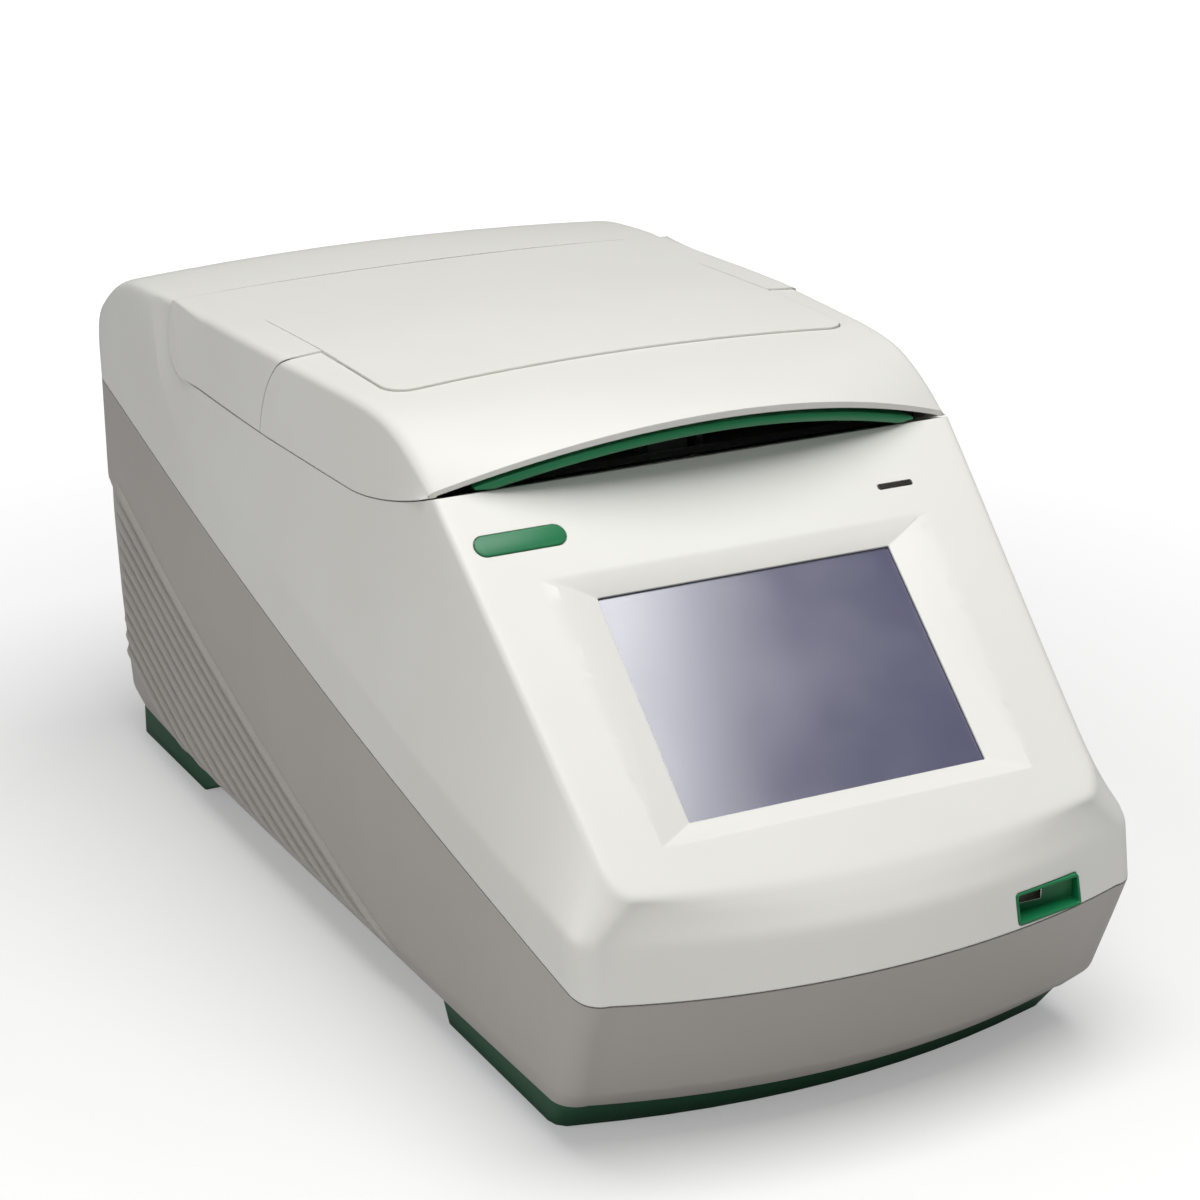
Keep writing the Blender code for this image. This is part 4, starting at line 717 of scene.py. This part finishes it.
def lidRow(part, share, shrink, raised):
    # A point of the lid's top: part runs from lip to hinge, share across its half width
    s = lidSizes
    at = part * (len(s["places"]) - 1)
    edgeY, centreY = (blend(list(enumerate(way)), at) - s["middle"] for way in zip(*s["places"]))
    edgeUp = blend(list(enumerate(s["edgeRise"])), at)
    centreUp = blend(list(enumerate(s["centreRise"])), at)
    y = centreY + (edgeY - centreY) * share**2
    z = deckZ + centreUp + (edgeUp - centreUp) * share**2 - shrink
    if raised:
        z += s["panelRaise"] * blend([(16.0, 1.0), (80.0, 0.0)], y)  # it sinks level by the hinge
    half = topHalf(edgeY) - shrink
    reach = s["edgeRound"] * min(1.0, edgeUp / 28.0)
    over = max(abs(share) * half - (half - reach), 0.0) / reach
    if shrink == 0:
        z -= reach * 0.8 * (1 - math.sqrt(max(1 - over**2, 0.0)))
    return (share * half, y, z)


def lidShares():
    marks = [step / 24 * 0.955 for step in range(25)] + [0.968, 0.98, 0.989, 0.995, 0.9985, 1.0]
    return [-mark for mark in reversed(marks[1:])] + marks


def lidLoop(share, raised):
    # Top from lip to hinge, round the hinge, then back under it at the same places
    rows = lidSizes["rows"]
    top = [lidRow(row / rows, share, 0.0, raised) for row in range(rows + 1)]
    half = topHalf(hingeY)
    rise = hoodTop(share * half, hingeY + hingeRadius / 2) - hingeZ
    turn = math.degrees(math.asin(rise / hingeRadius))
    rear = [(share * (half + 0.1 * (hoodZ - z)), y, z)
            for y, z in arc((hingeY, hingeZ), hingeRadius, turn, -90, 20)]
    under = []
    for x, y, _ in reversed(top):
        y = y + 1.5 * max(0.0, 1 - (y - top[0][1]) / 20.0)
        z = seamZ(max(y, frontY + 135.5)) + bodyLines["seam"] / 2
        under.append((share * sideX(y, z), y, z))
    return top + rear + under


def lidHollow(raised):
    rings = []
    for share in lidShares():
        top = [lidRow(row / 20, share, bodyLines["wall"], raised) for row in range(21)]
        x, y, z = top[0]
        top[0] = (x, y - 12.0, z - 0.5)
        x, y, z = top[-1]
        top[-1] = (x, hingeY - 18.0, z)
        rings.append(top + [(x, y, deckZ - 20) for x, y, z in reversed(top)])
    return loftPiece("lidHollow", rings, strips=True)


def coverRegions(grow):
    low, high = deckZ - 30, hoodZ + 40
    edge = arc((2.0, deckZ + 1.0), 36.0 - grow, 0, 60, 20)
    side = [(edge[0][0], low), *edge, (edge[-1][0] - 4, high), (hingeY + 60, high), (hingeY + 60, low)]
    half, front = lidSizes["panelHalf"] + grow, -42.0 - grow
    plan = [(half, 62.0), (-half, 62.0)]
    plan += arc((-half + 10, front + 10), 10, 180, 270, 10) + arc((half - 10, front + 10), 10, 270, 360, 10)
    return acrossBody("regionRear", side), prism("regionFront", "z", plan, low - 3, high + 3)


def makeLid():
    rear, front = coverRegions(0)
    cutWith(rear, front, operation="UNION")
    loops = [lidLoop(share, True) for share in lidShares()]
    cover = loftPiece("lidCover", loops, "whiteAbs", strips=True)
    cutWith(cover, lidHollow(True))
    cutWith(cover, rear, operation="INTERSECT")
    cutWith(cover, panelGroove(-1), panelGroove(1))
    for x in (-pinX, pinX):
        cutWith(cover, blockCutter("notch", (x - 4.6, hingeY - 11, deckZ - 10),
                                   (x + 4.6, hingeY + 25, hingeZ + 10)))
        cutWith(cover, prism("bore", "x", arc((hingeY, hingeZ), 3.08, 0, 352.5, 47), x - 13, x + 13))
    finishPiece(cover, "lid", "lid_cover")
    loops = [lidLoop(share, False) for share in lidShares()]
    lidFrame = loftPiece("lidFrame", loops, "whiteAbs", strips=True)
    cutWith(lidFrame, lidHollow(False))
    cutWith(lidFrame, *coverRegions(lidSizes["panelGap"]))
    finishPiece(lidFrame, "lid", "lid_frame")
    print("lid made")


def panelGroove(side):
    # The raised panel's side line runs on behind the arms and fades out
    x, steps, rings = side * lidSizes["panelHalf"], 12, []
    for step in range(steps + 1):
        y = 6.0 + 72.0 * step / steps
        share = lidSizes["panelHalf"] / topHalf(y)
        rows = [lidRow(row / 60, share, 0.0, True) for row in range(61)]
        top = min(rows, key=lambda place: abs(place[1] - y))[2]
        high, low = top + 2.0, top - 0.9 * (1 - step / steps) ** 0.7
        rings.append([(x - 0.35, y, high), (x + 0.35, y, high), (x + 0.12, y, low), (x - 0.12, y, low)])
    return loftPiece("groove", rings)


def finerCopy(node, finish, width):
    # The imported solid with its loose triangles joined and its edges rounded
    source = frame["nodes"][node]
    work = bmesh.new()
    work.from_mesh(source.data)
    bmesh.ops.remove_doubles(work, verts=work.verts, dist=1e-6)
    bmesh.ops.dissolve_limit(work, angle_limit=math.radians(1.5), verts=work.verts, edges=work.edges)
    bmesh.ops.recalc_face_normals(work, faces=work.faces)
    name = "".join(word.title() if place else word for place, word in enumerate(node.split("_")))
    piece = placePiece(name, work, finish)
    if width:
        edge = piece.modifiers.new("edge", "BEVEL")
        edge.width, edge.segments, edge.limit_method = width * mm, 2, "ANGLE"
        edge.angle_limit = math.radians(35)
        selectOnly(piece)
        bpy.ops.object.modifier_apply(modifier=edge.name)
    return finishPiece(piece, source["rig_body"], node, angle=40)


barSizes = {"stations": 64, "depth": 9.0, "height": 3.2, "behindLip": 1.0, "underLip": 4.2,
            "taper": 12, "tip": 0.35, "clear": 0.6}


def makeReleaseBar():
    # The green bar under the lip, with a rounded front edge and tapered ends
    s = barSizes
    reach = boxMm("release_bar")[1].x
    edgeY, centreY = (place - lidSizes["middle"] for place in lidSizes["places"][0])
    edgeUp, centreUp = lidSizes["edgeRise"][0], lidSizes["centreRise"][0]
    rings = []
    for step in range(s["stations"] + 1):
        x = reach * (2 * step / s["stations"] - 1)
        share = x / topHalf(edgeY)
        y = centreY + (edgeY - centreY) * share**2 + s["behindLip"]
        z = deckZ + centreUp + (edgeUp - centreUp) * share**2 - s["underLip"]
        end = blend([(reach - s["taper"], 1.0), (reach, s["tip"])], abs(x))
        back, under = y + s["depth"] * end, max(z - s["height"], ridgeZ + s["clear"])
        tall = z - under
        rings.append([(x, y + 0.6, z + 0.05), (x, back, z + 0.6 * end), (x, back, under + 0.6 * end),
                      (x, y + 0.8, under), (x, y + 0.2, under + 0.25 * tall), (x, y, (z + under) / 2),
                      (x, y + 0.15, z - 0.2 * tall)])
    bar = loftPiece("releaseBar", rings, "greenAbs")
    finishPiece(bar, "release_bar", "release_bar", angle=50)


def makeSprings():
    # Each coil is the imported spring with its triangles joined, on a mesh of its own
    for number in range(1, 5):
        node = f"plate_spring_{number}"
        coil = finerCopy(node, "nickelSteel", 0)
        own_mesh(coil)


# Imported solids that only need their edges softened, with how much in millimetres
roundedNodes = {
    "greenTpe": [("front_foot", 1.2), ("rear_foot_left", 1.2), ("rear_foot_right", 1.2)],
    "greenAbs": [("name_badge", 0.3), ("usb_liner", 0.2)],
    "blackNylon": [("fuse_drawer", 0.6), ("power_switch", 0.5)],
    "zincSteel": [("power_supply", 1.5), ("hinge_bracket_left", 0.5), ("hinge_bracket_right", 0.5),
                  ("latch_catch", 0.4), ("latch_ear_left", 0.4), ("latch_ear_right", 0.4),
                  ("chassis_plate", 0.3)],
    "nickelSteel": [("inlet_blade_1", 0.6), ("inlet_blade_2", 0.6), ("inlet_blade_3", 0.6),
                    ("latch_pin", 0.4), ("hinge_pin_left", 0.6), ("hinge_pin_right", 0.6)],
    "anodisedAluminium": [("heated_plate", 0.5)],
}

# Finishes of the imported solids, also of those that a new piece replaces; the rest are zinc-plated steel
nodeFinishes = {
    "whiteAbs": ["upper_shell", "lid_cover", "lid_frame"], "greyAbs": ["lower_shell"],
    "greenAbs": ["release_bar", "usb_liner", "name_badge"],
    "greenTpe": ["front_foot", "rear_foot_left", "rear_foot_right"],
    "blackNylon": ["block_collar", "lid_tray", "fan_frame", "fan_rotor", "fuse_drawer", "power_inlet",
                   "power_switch", "switch_frame"],
    "touchFilm": ["touch_glass"], "darkLens": ["status_light"], "solderMask": ["main_board"],
    "anodisedAluminium": ["sample_block", "heat_sink", "heated_plate"],
    "alumina": ["heat_pump_left", "heat_pump_right"],
    "nickelSteel": ["hinge_pin_left", "hinge_pin_right", "latch_pin", "inlet_blade_1", "inlet_blade_2",
                    "inlet_blade_3", "usb_a_port", "usb_b_socket"],
}


def makeSmallPieces():
    for finish, items in roundedNodes.items():
        for node, width in items:
            finerCopy(node, finish, width)
    finishOf = {node: finish for finish, nodes in nodeFinishes.items() for node in nodes}
    for node, item in frame["nodes"].items():
        item.data.materials.clear()
        item.data.materials.append(finishes[finishOf.get(node, "zincSteel")])


stageSizes = {
    "floor": 12, "glowFrom": 0.25, "glowTo": 1.0, "nearGlow": 0.30, "farGlow": 0.9, "world": 0.18,
    # Each light: where it stands, what it points at, width, height, power
    "lights": {
        "overhead": ((0.05, -0.35, 1.50), (0.05, -0.35, 0.0), 1.25, 1.10, 20.0),
        "frontHigh": ((-0.5, -1.75, 1.45), (0, -0.05, 0.15), 0.9, 0.9, 2.2),
        "leftFill": ((-1.9, -0.3, 0.7), (0, 0, 0.12), 0.8, 0.8, 7.0),
    },
}


def makeStage():
    bpy.ops.object.select_all(action="DESELECT")
    s = stageSizes
    bpy.ops.mesh.primitive_plane_add(size=s["floor"], location=(0, 0, 0))
    floor = bpy.context.object
    floor.name = "floor"
    made, tree, shader = newMaterial("paperFloor", "#d3d3d2", Roughness=0.9)
    # Only the camera sees this glow, so it whitens the paper without lighting the object
    place = addNode(tree, "ShaderNodeTexCoord").outputs["Object"]
    away = addNode(tree, "ShaderNodeVectorMath", {"operation": "LENGTH"})
    tree.links.new(place, away.inputs[0])
    glow = addNode(tree, "ShaderNodeMapRange",
                   {"From Min": s["glowFrom"], "From Max": s["glowTo"],
                    "To Min": s["nearGlow"], "To Max": s["farGlow"]},
                   {"Value": away.outputs["Value"]})
    seen = addNode(tree, "ShaderNodeMath", {"operation": "MULTIPLY"})
    tree.links.new(glow.outputs["Result"], seen.inputs[0])
    tree.links.new(addNode(tree, "ShaderNodeLightPath").outputs["Is Camera Ray"], seen.inputs[1])
    shader.inputs["Emission Color"].default_value = (1, 1, 1, 1)
    tree.links.new(seen.outputs["Value"], shader.inputs["Emission Strength"])
    floor.data.materials.append(made)
    world = bpy.data.worlds.new("studio")
    bpy.context.scene.world = world
    world.use_nodes = True
    sky = world.node_tree.nodes["Background"]
    sky.inputs["Color"].default_value = (0.95, 0.97, 1.0, 1)
    sky.inputs["Strength"].default_value = s["world"]
    for name, (place, target, width, height, power) in s["lights"].items():
        light = bpy.data.lights.new(name, "AREA")
        light.shape, light.size, light.size_y, light.energy = "RECTANGLE", width, height, power
        lamp = bpy.data.objects.new(name, light)
        lamp.location = place
        lamp.rotation_euler = (Vector(target) - Vector(place)).to_track_quat("-Z", "Y").to_euler()
        bpy.context.scene.collection.objects.link(lamp)


def makeCamera():
    place, target = Vector((-0.5395, -1.0610, 0.5580)), Vector((-0.0746, -0.1640, 0.1815))
    lens = bpy.data.cameras.new("camera")
    lens.lens, lens.sensor_width = 99.9, 36.0
    camera = bpy.data.objects.new("camera", lens)
    camera.location = place
    camera.rotation_euler = (target - place).to_track_quat("-Z", "Y").to_euler()
    bpy.context.scene.collection.objects.link(camera)
    bpy.context.scene.camera = camera


makeUpperShell()
makeLowerShell()
print("shells made")
makeLid()
makeReleaseBar()
makeSprings()
makeSmallPieces()
print("small pieces made")
makeStage()
makeCamera()
bpy.context.scene.view_settings.view_transform = "Standard"
print("scene made")
